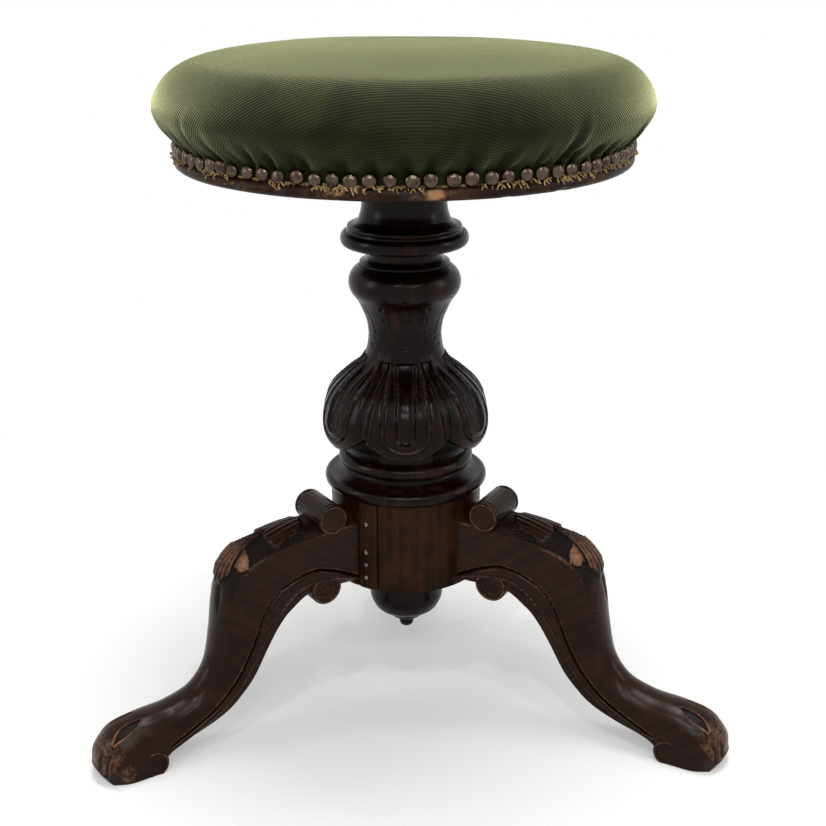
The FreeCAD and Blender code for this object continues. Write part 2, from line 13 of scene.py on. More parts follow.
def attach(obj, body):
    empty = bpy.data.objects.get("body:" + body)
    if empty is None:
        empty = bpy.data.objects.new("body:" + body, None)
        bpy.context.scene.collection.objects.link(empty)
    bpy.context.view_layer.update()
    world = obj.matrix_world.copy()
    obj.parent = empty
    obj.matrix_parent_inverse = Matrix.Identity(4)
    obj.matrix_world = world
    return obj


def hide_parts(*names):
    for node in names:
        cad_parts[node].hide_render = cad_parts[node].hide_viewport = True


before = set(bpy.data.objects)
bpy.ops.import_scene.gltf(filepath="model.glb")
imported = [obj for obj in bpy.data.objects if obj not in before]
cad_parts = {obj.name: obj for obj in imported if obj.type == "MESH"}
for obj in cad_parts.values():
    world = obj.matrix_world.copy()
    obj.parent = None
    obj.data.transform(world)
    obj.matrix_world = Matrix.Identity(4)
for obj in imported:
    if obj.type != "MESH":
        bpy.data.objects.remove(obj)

# Revolving piano stool. Sizes are in millimetres, in the frame of the CAD part; meshes are in metres.
# The front faces -Y, so azimuth -90 degrees is the side that the photograph shows.

MM = 0.001
WHITE = (1.0, 1.0, 1.0, 1.0)
FRONT = -90.0
log = logging.getLogger("stool")

# Sizes that more than one piece shares
HEM_RADIUS = 162.0
NAILS = 82
HUB_BASE = 108.0
HUB_TOP = 178.0
HUB_RADIUS = 58.0
RING_TOP = 193.0
BULB_BASE = 206.0
BULB_TOP = 281.0
WAIST_TOP = 316.0
VASE_TOP = 350.0
COLUMN_TOP = 362.0
COLLAR_BASE = 362.3
BOARD_BASE = 427.3

# Marks that every carved or turned piece carries at its points; the second darkens hollows, creases,
# undersides and joint lines: dirt, dark joints and painted shade
MARKS = ("wear", "grime_and_shade", "punch")

Point = tuple[float, ...]
Field = np.ndarray
Tree = bpy.types.NodeTree
Socket = bpy.types.NodeSocket


# Tools for meshes


def linear(code: str) -> tuple[float, float, float, float]:
    """Turns an sRGB hex colour to linear values.

    Args:
        code: The colour as "#RRGGBB".

    Returns:
        Red, green, blue and an alpha of 1.
    """
    parts = [int(code[i:i + 2], 16) / 255 for i in (1, 3, 5)]
    r, g, b = (c / 12.92 if c <= 0.04045 else ((c + 0.055) / 1.055) ** 2.4 for c in parts)
    return r, g, b, 1.0


def ramp(value: Field, low: float, high: float) -> Field:
    """A smooth step from 0 at low to 1 at high.

    Args:
        value: Where the step is read.
        low: Where it starts; it may lie above high.
        high: Where it ends.

    Returns:
        Values from 0 to 1.
    """
    t = np.clip((value - low) / (high - low), 0.0, 1.0)
    return t * t * (3 - 2 * t)


def bump(value: Field, centre: float | Field, half: float | Field) -> Field:
    """A bell that is 1 at the centre and dies out at about twice the half width.

    Args:
        value: Where the bell is read.
        centre: Its middle.
        half: Where it has fallen to about a third.

    Returns:
        Values from 0 to 1.
    """
    return np.exp(-((value - centre) / half) ** 2)


def lumps(points: Field, length: float, seed: int) -> Field:
    """Smooth unevenness, as the sum of a few waves that run in random directions.

    Args:
        points: Places in millimetres, with x, y and z on the last axis.
        length: The lumps' size in millimetres.
        seed: Fixes the waves.

    Returns:
        Values of about -1 to 1.
    """
    chance = np.random.default_rng(seed)
    total = np.zeros(points.shape[:-1])
    for _ in range(9):
        way = chance.normal(size=3)
        way *= 2 * math.pi / (length * chance.uniform(0.8, 1.6) * 2 * np.linalg.norm(way))
        total += np.sin(points @ way + chance.uniform(0, 2 * math.pi))
    return total / 3.6


def softened(values: Field, spread: float, loop: bool) -> Field:
    """Rounds a row of values with a bell-shaped average along its first axis.

    Args:
        values: The values to round.
        spread: The bell's width in samples.
        loop: Whether the row closes on itself.

    Returns:
        The rounded values.
    """
    reach = max(1, int(3 * spread))
    bell = np.exp(-0.5 * (np.arange(-reach, reach + 1) / spread) ** 2)
    bell /= bell.sum()
    if loop:
        padded = np.concatenate([values[-reach:], values, values[:reach]])
    else:
        first = 2 * values[:1] - values[reach:0:-1]
        last = 2 * values[-1:] - values[-2:-reach - 2:-1]
        padded = np.concatenate([first, values, last])
    return sum(w * padded[i:i + len(values)] for i, w in enumerate(bell))


def sampled_outline(corners: Sequence[Point], step: float, loop: bool) -> Field:
    """Even points along an outline of lines and arcs.

    Args:
        corners: (radius, height) points; a third number is the arc's height over its chord on the way there.
        step: The points' spacing in millimetres.
        loop: Whether the outline returns to its first point.

    Returns:
        An array of (radius, height) points.
    """
    ends = list(corners[1:]) + (list(corners[:1]) if loop else [])
    points: list[tuple[float, float]] = [tuple(corners[0][:2])]
    for start, end in zip(corners, ends):
        (x0, z0), (x1, z1) = start[:2], end[:2]
        chord = math.hypot(x1 - x0, z1 - z0)
        count = max(1, round(chord / step))
        rise = end[2] if len(end) > 2 else 0.0
        ax, az = (x1 - x0) / chord, (z1 - z0) / chord
        for i in range(1, count + 1):
            t = i / count
            along, off = t * chord, 0.0
            if rise:
                radius = (chord ** 2 / 4 + rise ** 2) / (2 * abs(rise))
                half = math.asin(min(1.0, chord / (2 * radius)))
                if abs(rise) > chord / 2:
                    half = math.pi - half
                turn = -half + 2 * half * t
                along = chord / 2 + radius * math.sin(turn)
                off = math.copysign(radius * (math.cos(turn) - math.cos(half)), rise)
            points.append((x0 + ax * along + az * off, z0 + az * along - ax * off))
    return np.array(points[:-1] if loop else points)


def circle(columns: int) -> Field:
    """The azimuths of a round piece's columns, in radians.

    Args:
        columns: How many there are.

    Returns:
        One row of azimuths.
    """
    return (np.arange(columns) * 2 * math.pi / columns)[None, :]


def polar(radius: Field | float, theta: Field, height: Field | float) -> Field:
    """Places given by a radius, an azimuth and a height.

    Args:
        radius: The radii.
        theta: The azimuths in radians.
        height: The heights.

    Returns:
        Places with x, y and z on the last axis.
    """
    return np.stack(np.broadcast_arrays(radius * np.cos(theta), radius * np.sin(theta), height), axis=-1)


def linked(name: str, data: Any) -> bpy.types.Object:
    """Makes an object and puts it in the scene.

    Args:
        name: Its name.
        data: Its mesh, lamp or camera.

    Returns:
        The object.
    """
    obj = bpy.data.objects.new(name, data)
    bpy.context.scene.collection.objects.link(obj)
    return obj


@dataclass
class Skin:
    """One surface as rows of points in millimetres, with its marks at each point."""

    rows: Field
    wear: Field
    grime_and_shade: Field
    grain: Field | None = None
    punch: Field | float = 0.0
    wrap_rows: bool = False

    def quads(self, first: int) -> Field:
        """The surface's quads.

        Args:
            first: The number of its first point in the mesh.

        Returns:
            Four point numbers for each quad.
        """
        count, across = self.rows.shape[:2]
        index = np.arange(count * across).reshape(count, across) + first
        index = np.concatenate([index, index[:, :1]], axis=1)
        if self.wrap_rows:
            index = np.concatenate([index, index[:1]], axis=0)
        corners = [index[:-1, :-1], index[:-1, 1:], index[1:, 1:], index[1:, :-1]]
        return np.stack(corners, axis=-1).reshape(-1, 4)


def skin_object(name: str, skins: Sequence[Skin], edge: float = 38.0) -> bpy.types.Object:
    """Makes one mesh object of several skins, with its marks as attributes.

    Args:
        name: The piece's name.
        skins: Its surfaces, each closed by its poles or its own loop.
        edge: Edges sharper than this angle in degrees stay sharp.

    Returns:
        The object, with its place in its mesh and its faces pointing out.
    """
    points = np.concatenate([s.rows.reshape(-1, 3) for s in skins]) * MM
    faces, first = [], 0
    for skin in skins:
        faces.append(skin.quads(first))
        first += skin.rows.shape[0] * skin.rows.shape[1]
    mesh = bpy.data.meshes.new(name)
    mesh.from_pydata(points.tolist(), [], np.concatenate(faces).tolist())
    for label in MARKS:
        each = [np.broadcast_to(getattr(s, label), s.rows.shape[:2]).reshape(-1) for s in skins]
        marks = np.concatenate(each)
        mesh.attributes.new(label, "FLOAT", "POINT").data.foreach_set("value", marks.astype(np.float32))
    grain = np.concatenate([(s.rows if s.grain is None else s.grain).reshape(-1, 3) for s in skins]) * MM
    mesh.attributes.new("grain", "FLOAT_VECTOR", "POINT").data.foreach_set(
        "vector", grain.astype(np.float32).reshape(-1))
    work = bmesh.new()
    work.from_mesh(mesh)
    bmesh.ops.remove_doubles(work, verts=work.verts, dist=1e-7)
    bmesh.ops.recalc_face_normals(work, faces=work.faces)
    work.to_mesh(mesh)
    work.free()
    mesh.shade_smooth()
    mesh.set_sharp_from_angle(angle=math.radians(edge))
    return linked(name, mesh)


def normals_of(rows: Field) -> Field:
    """The directions square to a surface of rows, by the rule of the right hand over columns and rows.

    Args:
        rows: The surface's points; its columns close on themselves.

    Returns:
        A unit direction at each point.
    """
    along = np.gradient(rows, axis=0)
    across = (np.roll(rows, -1, axis=1) - np.roll(rows, 1, axis=1)) / 2
    out = np.cross(across, along)
    return out / np.maximum(np.linalg.norm(out, axis=-1, keepdims=True), 1e-9)


@dataclass
class Relief:
    """What carving adds to a surface: a push along its normal, wear, darkening in its hollows and under
    overhangs (painted shade and dirt) and punched stippling.
    """

    push: Field | float = 0.0
    wear: Field | float = 0.0
    grime_and_shade: Field | float = 0.0
    punch: Field | float = 0.0


@dataclass
class Turning:
    """A piece of wood or iron turned on a lathe."""

    outline: Sequence[Point]
    columns: int
    step: float
    softening: float
    loop: bool = False
    carving: Callable[[Field, Field, Field], Relief] | None = None
    seed: int = 1

    def skin(self) -> Skin:
        """The turned surface.

        Returns:
            The skin, worn on its arrises and darkened in its hollows with painted shade and dirt.
        """
        line = sampled_outline(self.outline, self.step, self.loop)
        ends = line[[0, -1]].copy()
        line = softened(line, self.softening / self.step, self.loop)
        if not self.loop:
            line[0], line[-1] = ends
            line[:, 0] = np.maximum(line[:, 0], 0.0)
        if self.loop:
            way = (np.roll(line, -1, axis=0) - np.roll(line, 1, axis=0)) / 2
            bend = np.roll(way, -1, axis=0) - np.roll(way, 1, axis=0)
        else:
            way = np.gradient(line, axis=0)
            bend = 2 * np.gradient(way, axis=0)
        way /= np.maximum(np.linalg.norm(way, axis=1, keepdims=True), 1e-9)
        out = np.stack([way[:, 1], -way[:, 0]], axis=1)
        curve = -(bend * out).sum(axis=1) / self.step ** 2
        theta = circle(self.columns)
        radius, height = line[:, :1], line[:, 1:]
        relief = self.carving(theta, radius, height) if self.carving else Relief()
        shape = (len(line), self.columns)
        push = np.broadcast_to(relief.push, shape)
        ring = np.maximum(radius + out[:, :1] * push, 0.0)
        if not self.loop:
            ring[[0, -1]] = ends[:, :1]
        rows = polar(ring, theta, height + out[:, 1:] * push)
        rows += 0.05 * lumps(rows, 22.0, self.seed)[..., None] * (ring > 1.0)[..., None]
        handled = ramp(lumps(rows, 18.0, self.seed + 50), -0.2, 0.9)
        wear = np.clip(curve[:, None] * 0.6 - 0.2, 0, 0.45) * handled + relief.wear
        # Concave hollows are darkened: painted shade, with some dirt.
        grime_and_shade = np.clip(-curve[:, None] * 1.2 - 0.2, 0, 0.8) + relief.grime_and_shade
        return Skin(rows, np.broadcast_to(wear, shape), np.broadcast_to(grime_and_shade, shape), wrap_rows=self.loop)


# Tools for node trees


def add_node(tree: Tree, kind: str, inputs: dict[Any, Any] | None = None, **settings: Any) -> bpy.types.Node:
    """Adds one node to a tree.

    Args:
        tree: The tree that gets the node.
        kind: The node's type.
        inputs: What its inputs get, by name or number: a constant, or another node's socket.
        settings: Properties of the node.

    Returns:
        The new node.
    """
    node = tree.nodes.new(kind)
    for key, value in settings.items():
        setattr(node, key, value)
    for key, value in (inputs or {}).items():
        if isinstance(value, Socket):
            tree.links.new(value, node.inputs[key])
        else:
            node.inputs[key].default_value = value
    return node


def calc(tree: Tree, operation: str, *terms: Any, clamp: bool = False) -> Socket:
    """Works out one sum.

    Args:
        tree: The tree that gets the node.
        operation: The sum.
        terms: Its numbers or sockets.
        clamp: Whether the result stays between 0 and 1.

    Returns:
        The result's socket.
    """
    return add_node(tree, "ShaderNodeMath", dict(enumerate(terms)), operation=operation,
                    use_clamp=clamp).outputs[0]


def noise(tree: Tree, at: Socket, scale: float, detail: float = 2.0, roughness: float = 0.5,
          distortion: float = 0.0) -> Socket:
    """Reads cloudy noise.

    Args:
        tree: The tree that gets the node.
        at: Where it is read.
        scale: How many clouds there are in a metre.
        detail: How many finer clouds ride on them.
        roughness: How strong the finer ones are.
        distortion: How far they are bent.

    Returns:
        A socket of about 0 to 1.
    """
    return add_node(tree, "ShaderNodeTexNoise", {
        "Vector": at, "Scale": scale, "Detail": detail, "Roughness": roughness, "Distortion": distortion,
    }).outputs[0]


def remap(tree: Tree, value: Socket, old: Point = (0.0, 1.0), new: Point = (0.0, 1.0),
          smooth: bool = False) -> Socket:
    """Maps one span of values to another, and holds them within it.

    Args:
        tree: The tree that gets the node.
        value: The value.
        old: The span it comes from.
        new: The span it goes to.
        smooth: Whether both ends are eased.

    Returns:
        The result's socket.
    """
    return add_node(tree, "ShaderNodeMapRange", {
        "Value": value, "From Min": old[0], "From Max": old[1], "To Min": new[0], "To Max": new[1],
    }, interpolation_type="SMOOTHSTEP" if smooth else "LINEAR").outputs[0]


def mixed(tree: Tree, share: Any, first: Any, second: Any, blend: str = "MIX") -> Socket:
    """Mixes two colours.

    Args:
        tree: The tree that gets the node.
        share: How much of the second colour there is.
        first: The first colour or its socket.
        second: The second one.
        blend: How they are mixed.

    Returns:
        The colour's socket.
    """
    return add_node(tree, "ShaderNodeMix", {0: share, 6: first, 7: second}, data_type="RGBA",
                    blend_type=blend).outputs[2]


def bumped(tree: Tree, height: Socket, strength: float, distance: float,
           normal: Socket | None = None) -> Socket:
    """Bends the surface's normal by a height.

    Args:
        tree: The tree that gets the node.
        height: The height.
        strength: How much of the bend shows.
        distance: What a height of 1 measures in metres.
        normal: The normal to start from, or None for the surface's own.

    Returns:
        The new normal's socket.
    """
    inputs = {"Height": height, "Strength": strength, "Distance": distance}
    if normal is not None:
        inputs["Normal"] = normal
    return add_node(tree, "ShaderNodeBump", inputs).outputs[0]


def marked(tree: Tree, name: str, output: str = "Fac") -> Socket:
    """Reads one of a piece's marks.

    Args:
        tree: The tree that gets the node.
        name: The mark's attribute.
        output: "Fac" for a number, "Vector" for a place.

    Returns:
        The mark's socket.
    """
    return add_node(tree, "ShaderNodeAttribute", attribute_name=name).outputs[output]


def object_place(tree: Tree) -> Socket:
    """Reads the place on the object.

    Args:
        tree: The tree that gets the node.

    Returns:
        The place's socket.
    """
    return add_node(tree, "ShaderNodeTexCoord").outputs["Object"]


def new_material(name: str) -> tuple[bpy.types.Material, Tree, bpy.types.Node]:
    """Starts a material with an empty tree and its output node.

    Args:
        name: The material's name.

    Returns:
        The material, its tree and the output node.
    """
    material = bpy.data.materials.new(name)
    material.use_nodes = True
    tree = material.node_tree
    tree.nodes.clear()
    return material, tree, add_node(tree, "ShaderNodeOutputMaterial")


def coat(tree: Tree, end: bpy.types.Node, inputs: dict[str, Any]) -> None:
    """Ends a material's tree in its surface.

    Args:
        tree: The material's tree.
        end: Its output node.
        inputs: The surface's constants and sockets.
    """
    body = add_node(tree, "ShaderNodeBsdfPrincipled", inputs)
    tree.links.new(body.outputs[0], end.inputs["Surface"])


class Pattern:
    """A Geometry Nodes tree with named sizes, for what repeats."""

    def __init__(self, name: str) -> None:
        """Starts the tree.

        Args:
            name: The tree's name.
        """
        self.tree = bpy.data.node_groups.new(name, "GeometryNodeTree")
        for way in ("INPUT", "OUTPUT"):
            self.tree.interface.new_socket("Geometry", in_out=way, socket_type="NodeSocketGeometry")
        self.keys: dict[str, str] = {}
        self.size: dict[str, Socket] = {}

    def name_sizes(self, **defaults: float | int) -> None:
        """Names the tree's inputs.

        Args:
            defaults: Each input's name and its default; a whole number makes a whole-number input.
        """
        for name, value in defaults.items():
            kind = "NodeSocketInt" if isinstance(value, int) else "NodeSocketFloat"
            socket = self.tree.interface.new_socket(name, in_out="INPUT", socket_type=kind)
            socket.default_value = value
            self.keys[name] = socket.identifier
        start = add_node(self.tree, "NodeGroupInput")
        self.size = {name: start.outputs[name] for name in defaults}

    def combined(self, x: Any = 0.0, y: Any = 0.0, z: Any = 0.0) -> Socket:
        """Joins three numbers into a place.

        Args:
            x: The first number or its socket.
            y: The second one.
            z: The third one.

        Returns:
            The place's socket.
        """
        return add_node(self.tree, "ShaderNodeCombineXYZ", {0: x, 1: y, 2: z}).outputs[0]

    def added(self, first: Socket, second: Socket) -> Socket:
        """Adds two places.

        Args:
            first: One place.
            second: The other.

        Returns:
            Their sum's socket.
        """
        return add_node(self.tree, "ShaderNodeVectorMath", {0: first, 1: second}, operation="ADD").outputs[0]

    def strayed(self, low: Point, high: Point, seed: str) -> Socket:
        """Draws a random place for each copy.

        Args:
            low: The lowest numbers.
            high: The highest numbers.
            seed: The size that fixes the draw.

        Returns:
            The place's socket.
        """
        return add_node(self.tree, "FunctionNodeRandomValue", {0: low, 1: high, "Seed": self.size[seed]},
                        data_type="FLOAT_VECTOR").outputs[0]

    def set_round(self, shape: Socket, angle: Socket, stray: Any, tips: tuple[Point, Point], grades: Point,
                  axis: str, tufted: bool = False) -> Socket:
        """Sets copies of a shape round the rim, facing out.

        Args:
            shape: The shape.
            angle: Each copy's azimuth in radians.
            stray: The node whose outputs Y and Z say how far it strays outwards and upwards.
            tips: The lowest and highest numbers that tip its facing.
            grades: Its smallest and largest scale.
            axis: The shape's axis that faces out.
            tufted: Whether only those in tufts stay.

        Returns:
            The copies' socket.
        """
        tree, size = self.tree, self.size
        points = add_node(tree, "GeometryNodePoints", {"Count": size["Count"]}).outputs[0]
        out = self.combined(calc(tree, "COSINE", angle), calc(tree, "SINE", angle))
        reach = calc(tree, "ADD", size["Rim"], stray.outputs["Y"])
        ring = add_node(tree, "ShaderNodeVectorMath", {0: out, "Scale": reach}, operation="SCALE").outputs[0]
        place = self.added(ring, self.combined(z=calc(tree, "ADD", size["Height"], stray.outputs["Z"])))
        spread = add_node(tree, "GeometryNodeSetPosition", {"Geometry": points, "Position": place}).outputs[0]
        aim = self.added(out, self.strayed(*tips, "Count"))
        facing = add_node(tree, "FunctionNodeAlignRotationToVector", {"Vector": aim}, axis=axis).outputs[0]
        grade = add_node(tree, "FunctionNodeRandomValue", {2: grades[0], 3: grades[1], "Seed": size["Seed"]},
                         data_type="FLOAT").outputs[1]
        inputs = {"Points": spread, "Instance": shape, "Rotation": facing, "Scale": grade}
        if tufted:
            tufts = noise(tree, ring, 42.0)
            inputs["Selection"] = add_node(tree, "FunctionNodeCompare", {"A": tufts, "B": 0.5},
                                           operation="GREATER_THAN").outputs[0]
        return add_node(tree, "GeometryNodeInstanceOnPoints", inputs).outputs[0]

    def make(self, name: str, copies: Socket, material: bpy.types.Material, **values: float | int) \
            -> bpy.types.Object:
        """Ends the tree in real meshes, runs it once and keeps its result as a plain mesh.

        Args:
            name: The new piece's name.
            copies: The socket with the pattern's instances.
            material: What they are made of.
            values: Sizes that differ from the defaults.

        Returns:
            The new object.
        """
        real = add_node(self.tree, "GeometryNodeRealizeInstances", {"Geometry": copies})
        smooth = add_node(self.tree, "GeometryNodeSetShadeSmooth", {0: real.outputs[0]})
        coated = add_node(self.tree, "GeometryNodeSetMaterial", {"Geometry": smooth.outputs[0],
                                                                 "Material": material})
        add_node(self.tree, "NodeGroupOutput", {0: coated.outputs[0]})
        carrier = linked(name + "_carrier", bpy.data.meshes.new(name))
        modifier = carrier.modifiers.new("pattern", "NODES")
        modifier.node_group = self.tree
        for label, value in values.items():
            modifier[self.keys[label]] = value
        bpy.context.view_layer.update()
        graph = bpy.context.evaluated_depsgraph_get()
        mesh = bpy.data.meshes.new_from_object(carrier.evaluated_get(graph))
        carrier.modifiers.remove(modifier)
        bpy.data.objects.remove(carrier)
        mesh.name = name
        return linked(name, mesh)


# Finishes


@dataclass(frozen=True)
class FrenchPolish:
    """Mahogany under old dark French polish: a thin gloss over fine pores, rubbed through to bare wood on the
    arrises, and blackened in the hollows and under overhangs with dirt and painted shade."""

    name: str
    deep: str
    warm: str
    bare: str
    dirt_shade_colour: str = "#060302"
    gloss: float = 0.20
    shine: float = 0.11
    warmth: float = 0.5

    def material(self) -> bpy.types.Material:
        """Builds the material. Pores are drawn 0.7 mm wide and 9 mm long, about twice the real ones, to show.

        Returns:
            The material.
        """
        material, tree, end = new_material(self.name)
        grain, place = marked(tree, "grain", "Vector"), object_place(tree)
        wear, grime_and_shade, punch = (marked(tree, name) for name in MARKS)
        wide, fine = (add_node(tree, "ShaderNodeMapping", {"Vector": grain, "Scale": scale}).outputs[0]
                      for scale in ((160, 160, 9), (1400, 1400, 110)))
        figure = noise(tree, wide, 1, 3, distortion=0.4)
        pores = noise(tree, fine, 1)
        blotch = noise(tree, place, 34, 4, 0.6)
        clear = 0.24 * self.warmth
        thin = remap(tree, calc(tree, "MULTIPLY", figure, blotch), (0.34 - clear, 0.52 - clear), smooth=True)
        varnish = mixed(tree, thin, linear(self.deep), linear(self.warm))
        wood = mixed(tree, 1.0, varnish, remap(tree, pores, (0.35, 0.6), (0.7, 1.05)), "MULTIPLY")
        speck = noise(tree, place, 330, 5, 0.7)
        rubbed = remap(tree, calc(tree, "SUBTRACT", wear, speck), (-0.25, 0.45), smooth=True)
        worn = mixed(tree, rubbed, wood, linear(self.bare))
        # Hollows and undersides are blackened towards near black: painted shade, with some dirt.
        dirt_shade_share = remap(tree, grime_and_shade, (0.1, 0.9), (0.0, 0.85), True)
        dull = remap(tree, blotch, (0.3, 0.7), (self.gloss, self.gloss + 0.14))
        matt = calc(tree, "MULTIPLY_ADD", rubbed, 0.22, dull, clamp=True)
        dents = bumped(tree, noise(tree, place, 150), 0.35, 0.0003)
        open_grain = bumped(tree, pores, 0.3, 0.00012, dents)
        dots = add_node(tree, "ShaderNodeTexVoronoi", {"Vector": place, "Scale": 720, "Randomness": 0.6})
        stipple = calc(tree, "MULTIPLY", dots.outputs["Distance"], punch)
        coat(tree, end, {
            "Base Color": mixed(tree, dirt_shade_share, worn, linear(self.dirt_shade_colour)),
            "Roughness": calc(tree, "MULTIPLY_ADD", dirt_shade_share, 0.3, matt, clamp=True),
            "IOR": 1.5,
            "Specular IOR Level": self.shine,
            "Normal": bumped(tree, stipple, 1.0, 0.0009, open_grain),
        })
        return material


@dataclass(frozen=True)
class RibbedVelvet:
    """Cotton velvet woven in fine ribs, like needlecord: dark where the pile is looked into, pale and silvery
    where it is seen along its lie, with patches that have been brushed another way. Its rib grooves, its
    pleats and the band above the nails are painted darker, and the last two lose their sheen: painted shade."""

    name: str = "ribbed_velvet"
    deep: str = "#101307"
    lit: str = "#20240F"
    shadowed_pile: str = "#14170B"
    sheen: str = "#F4F8BA"
    rib: float = 2.1

    def material(self) -> bpy.types.Material:
        """Builds the material, with its ribs on the cloth's own coordinates.

        Returns:
            The material.
        """
        material, tree, end = new_material(self.name)
        cloth, place, grime_and_shade = marked(tree, "cloth", "Vector"), object_place(tree), marked(tree, "grime_and_shade")
        across = add_node(tree, "ShaderNodeSeparateXYZ", {0: cloth}).outputs["Y"]
        line = calc(tree, "MULTIPLY_ADD", noise(tree, cloth, 14, 1), 0.0035, across)
        wave = calc(tree, "SINE", calc(tree, "MULTIPLY", line, 2 * math.pi / (self.rib * MM)))
        wale = remap(tree, wave, (-0.9, 0.5), smooth=True)
        brushed = remap(tree, noise(tree, cloth, 17, 5, 0.62, 0.6), (0.36, 0.66), smooth=True)
        tuft = noise(tree, place, 1500)
        pile = mixed(tree, brushed, linear(self.deep), linear(self.lit))
        # Rib grooves are painted darker than the ribs' crests: painted shade.
        depth = remap(tree, wale, new=(0.62, 1.1))
        shade = calc(tree, "MULTIPLY", depth, remap(tree, tuft, (0.3, 0.7), (0.75, 1.25)))
        ribbed = mixed(tree, 1.0, pile, shade, "MULTIPLY")
        # Where the cushion marks shade, the pile goes to a darker colour and its sheen fades: painted shade
        # in the pleats and above the nails.
        coat(tree, end, {
            "Base Color": mixed(tree, grime_and_shade, ribbed, linear(self.shadowed_pile)),
            "Roughness": 0.9,
            "Specular IOR Level": 0.1,
            "Sheen Weight": remap(tree, grime_and_shade, new=(1.0, 0.12)),
            "Sheen Roughness": 0.34,
            "Sheen Tint": linear(self.sheen),
            "Normal": bumped(tree, tuft, 0.5, 0.0003, bumped(tree, wale, 0.5, 0.0004)),
        })
        return material


@dataclass(frozen=True)
class Metal:
    """Bare or browned metal, uneven with patina and handling."""

    name: str
    bright: str
    dull: str
    roughness: float
    patina: float
    spot: float = 2.5

    def material(self) -> bpy.types.Material:
        """Builds the material, with patina in spots of the given size in millimetres.

        Returns:
            The material.
        """
        material, tree, end = new_material(self.name)
        cloud = noise(tree, object_place(tree), 1000 / self.spot, 5, 0.6)
        worn = 0.4 * self.patina
        mask = remap(tree, cloud, (0.62 - worn, 0.82 - worn), smooth=True)
        coat(tree, end, {
            "Base Color": mixed(tree, mask, linear(self.bright), linear(self.dull)),
            "Metallic": 1.0,
            "Roughness": remap(tree, mask, new=(self.roughness - 0.08, self.roughness + 0.2)),
            "Normal": bumped(tree, cloud, 0.15, 0.0001),
        })
        return material


@dataclass(frozen=True)
class Thread:
    """Jute or cotton thread: matt fibres of uneven colour."""

    name: str
    pale: str = "#B79C6C"
    dark: str = "#6A5130"

    def material(self) -> bpy.types.Material:
        """Builds the material, with its colour changing every 3 mm or so.

        Returns:
            The material.
        """
        material, tree, end = new_material(self.name)
        cloud = noise(tree, object_place(tree), 320, 4, 0.7)
        coat(tree, end, {
            "Base Color": mixed(tree, remap(tree, cloud, (0.35, 0.65)), linear(self.dark), linear(self.pale)),
            "Roughness": 0.9,
            "Specular IOR Level": 0.2,
            "Normal": bumped(tree, cloud, 0.5, 0.0001),
        })
        return material


COLUMN_POLISH = FrenchPolish("dark_polish_column", "#0E0504", "#24100A", "#55321F", gloss=0.17)
HUB_POLISH = FrenchPolish("brown_polish_hub", "#1A0C06", "#30190C", "#6E472B", gloss=0.28, shine=0.07,
                          warmth=0.8)
LEG_POLISH = FrenchPolish("brown_polish_legs", "#1C0C05", "#29140A", "#8C624A", warmth=0.7)
BOARD_POLISH = FrenchPolish("worn_polish_board", "#20120E", "#38231A", "#96704E", gloss=0.34, shine=0.08,
                            warmth=0.6)
VELVET = RibbedVelvet()
BRONZE = Metal("bronzed_nail_brass", "#564940", "#3B3029", roughness=0.30, patina=0.45, spot=5.0)
IRON = Metal("greased_dark_iron", "#6E6862", "#2A2320", roughness=0.38, patina=0.55, spot=6.0)
STEEL = Metal("dull_steel_screws", "#8C8880", "#3A332D", roughness=0.4, patina=0.45)
STRAW = Thread("frayed_hessian")


def settle(obj: bpy.types.Object, finish: Any, body: str, slot: str, *nodes: str) -> bpy.types.Object:
    """Gives a piece its finish, its body and the CAD nodes that it stands for.

    Args:
        obj: The piece, in place.
        finish: Its finish, or None where its mesh has one.
        body: The CAD body that it rides on.
        slot: The record's material slot; not used.
        nodes: The CAD nodes that it stands for.

    Returns:
        The piece.
    """
    if finish is not None:
        obj.data.materials.append(finish.material())
    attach(obj, body)
    if nodes:
        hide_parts(*nodes)
    log.info("%s: %d faces on %s", obj.name, len(obj.data.polygons), body)
    return obj


# Seat


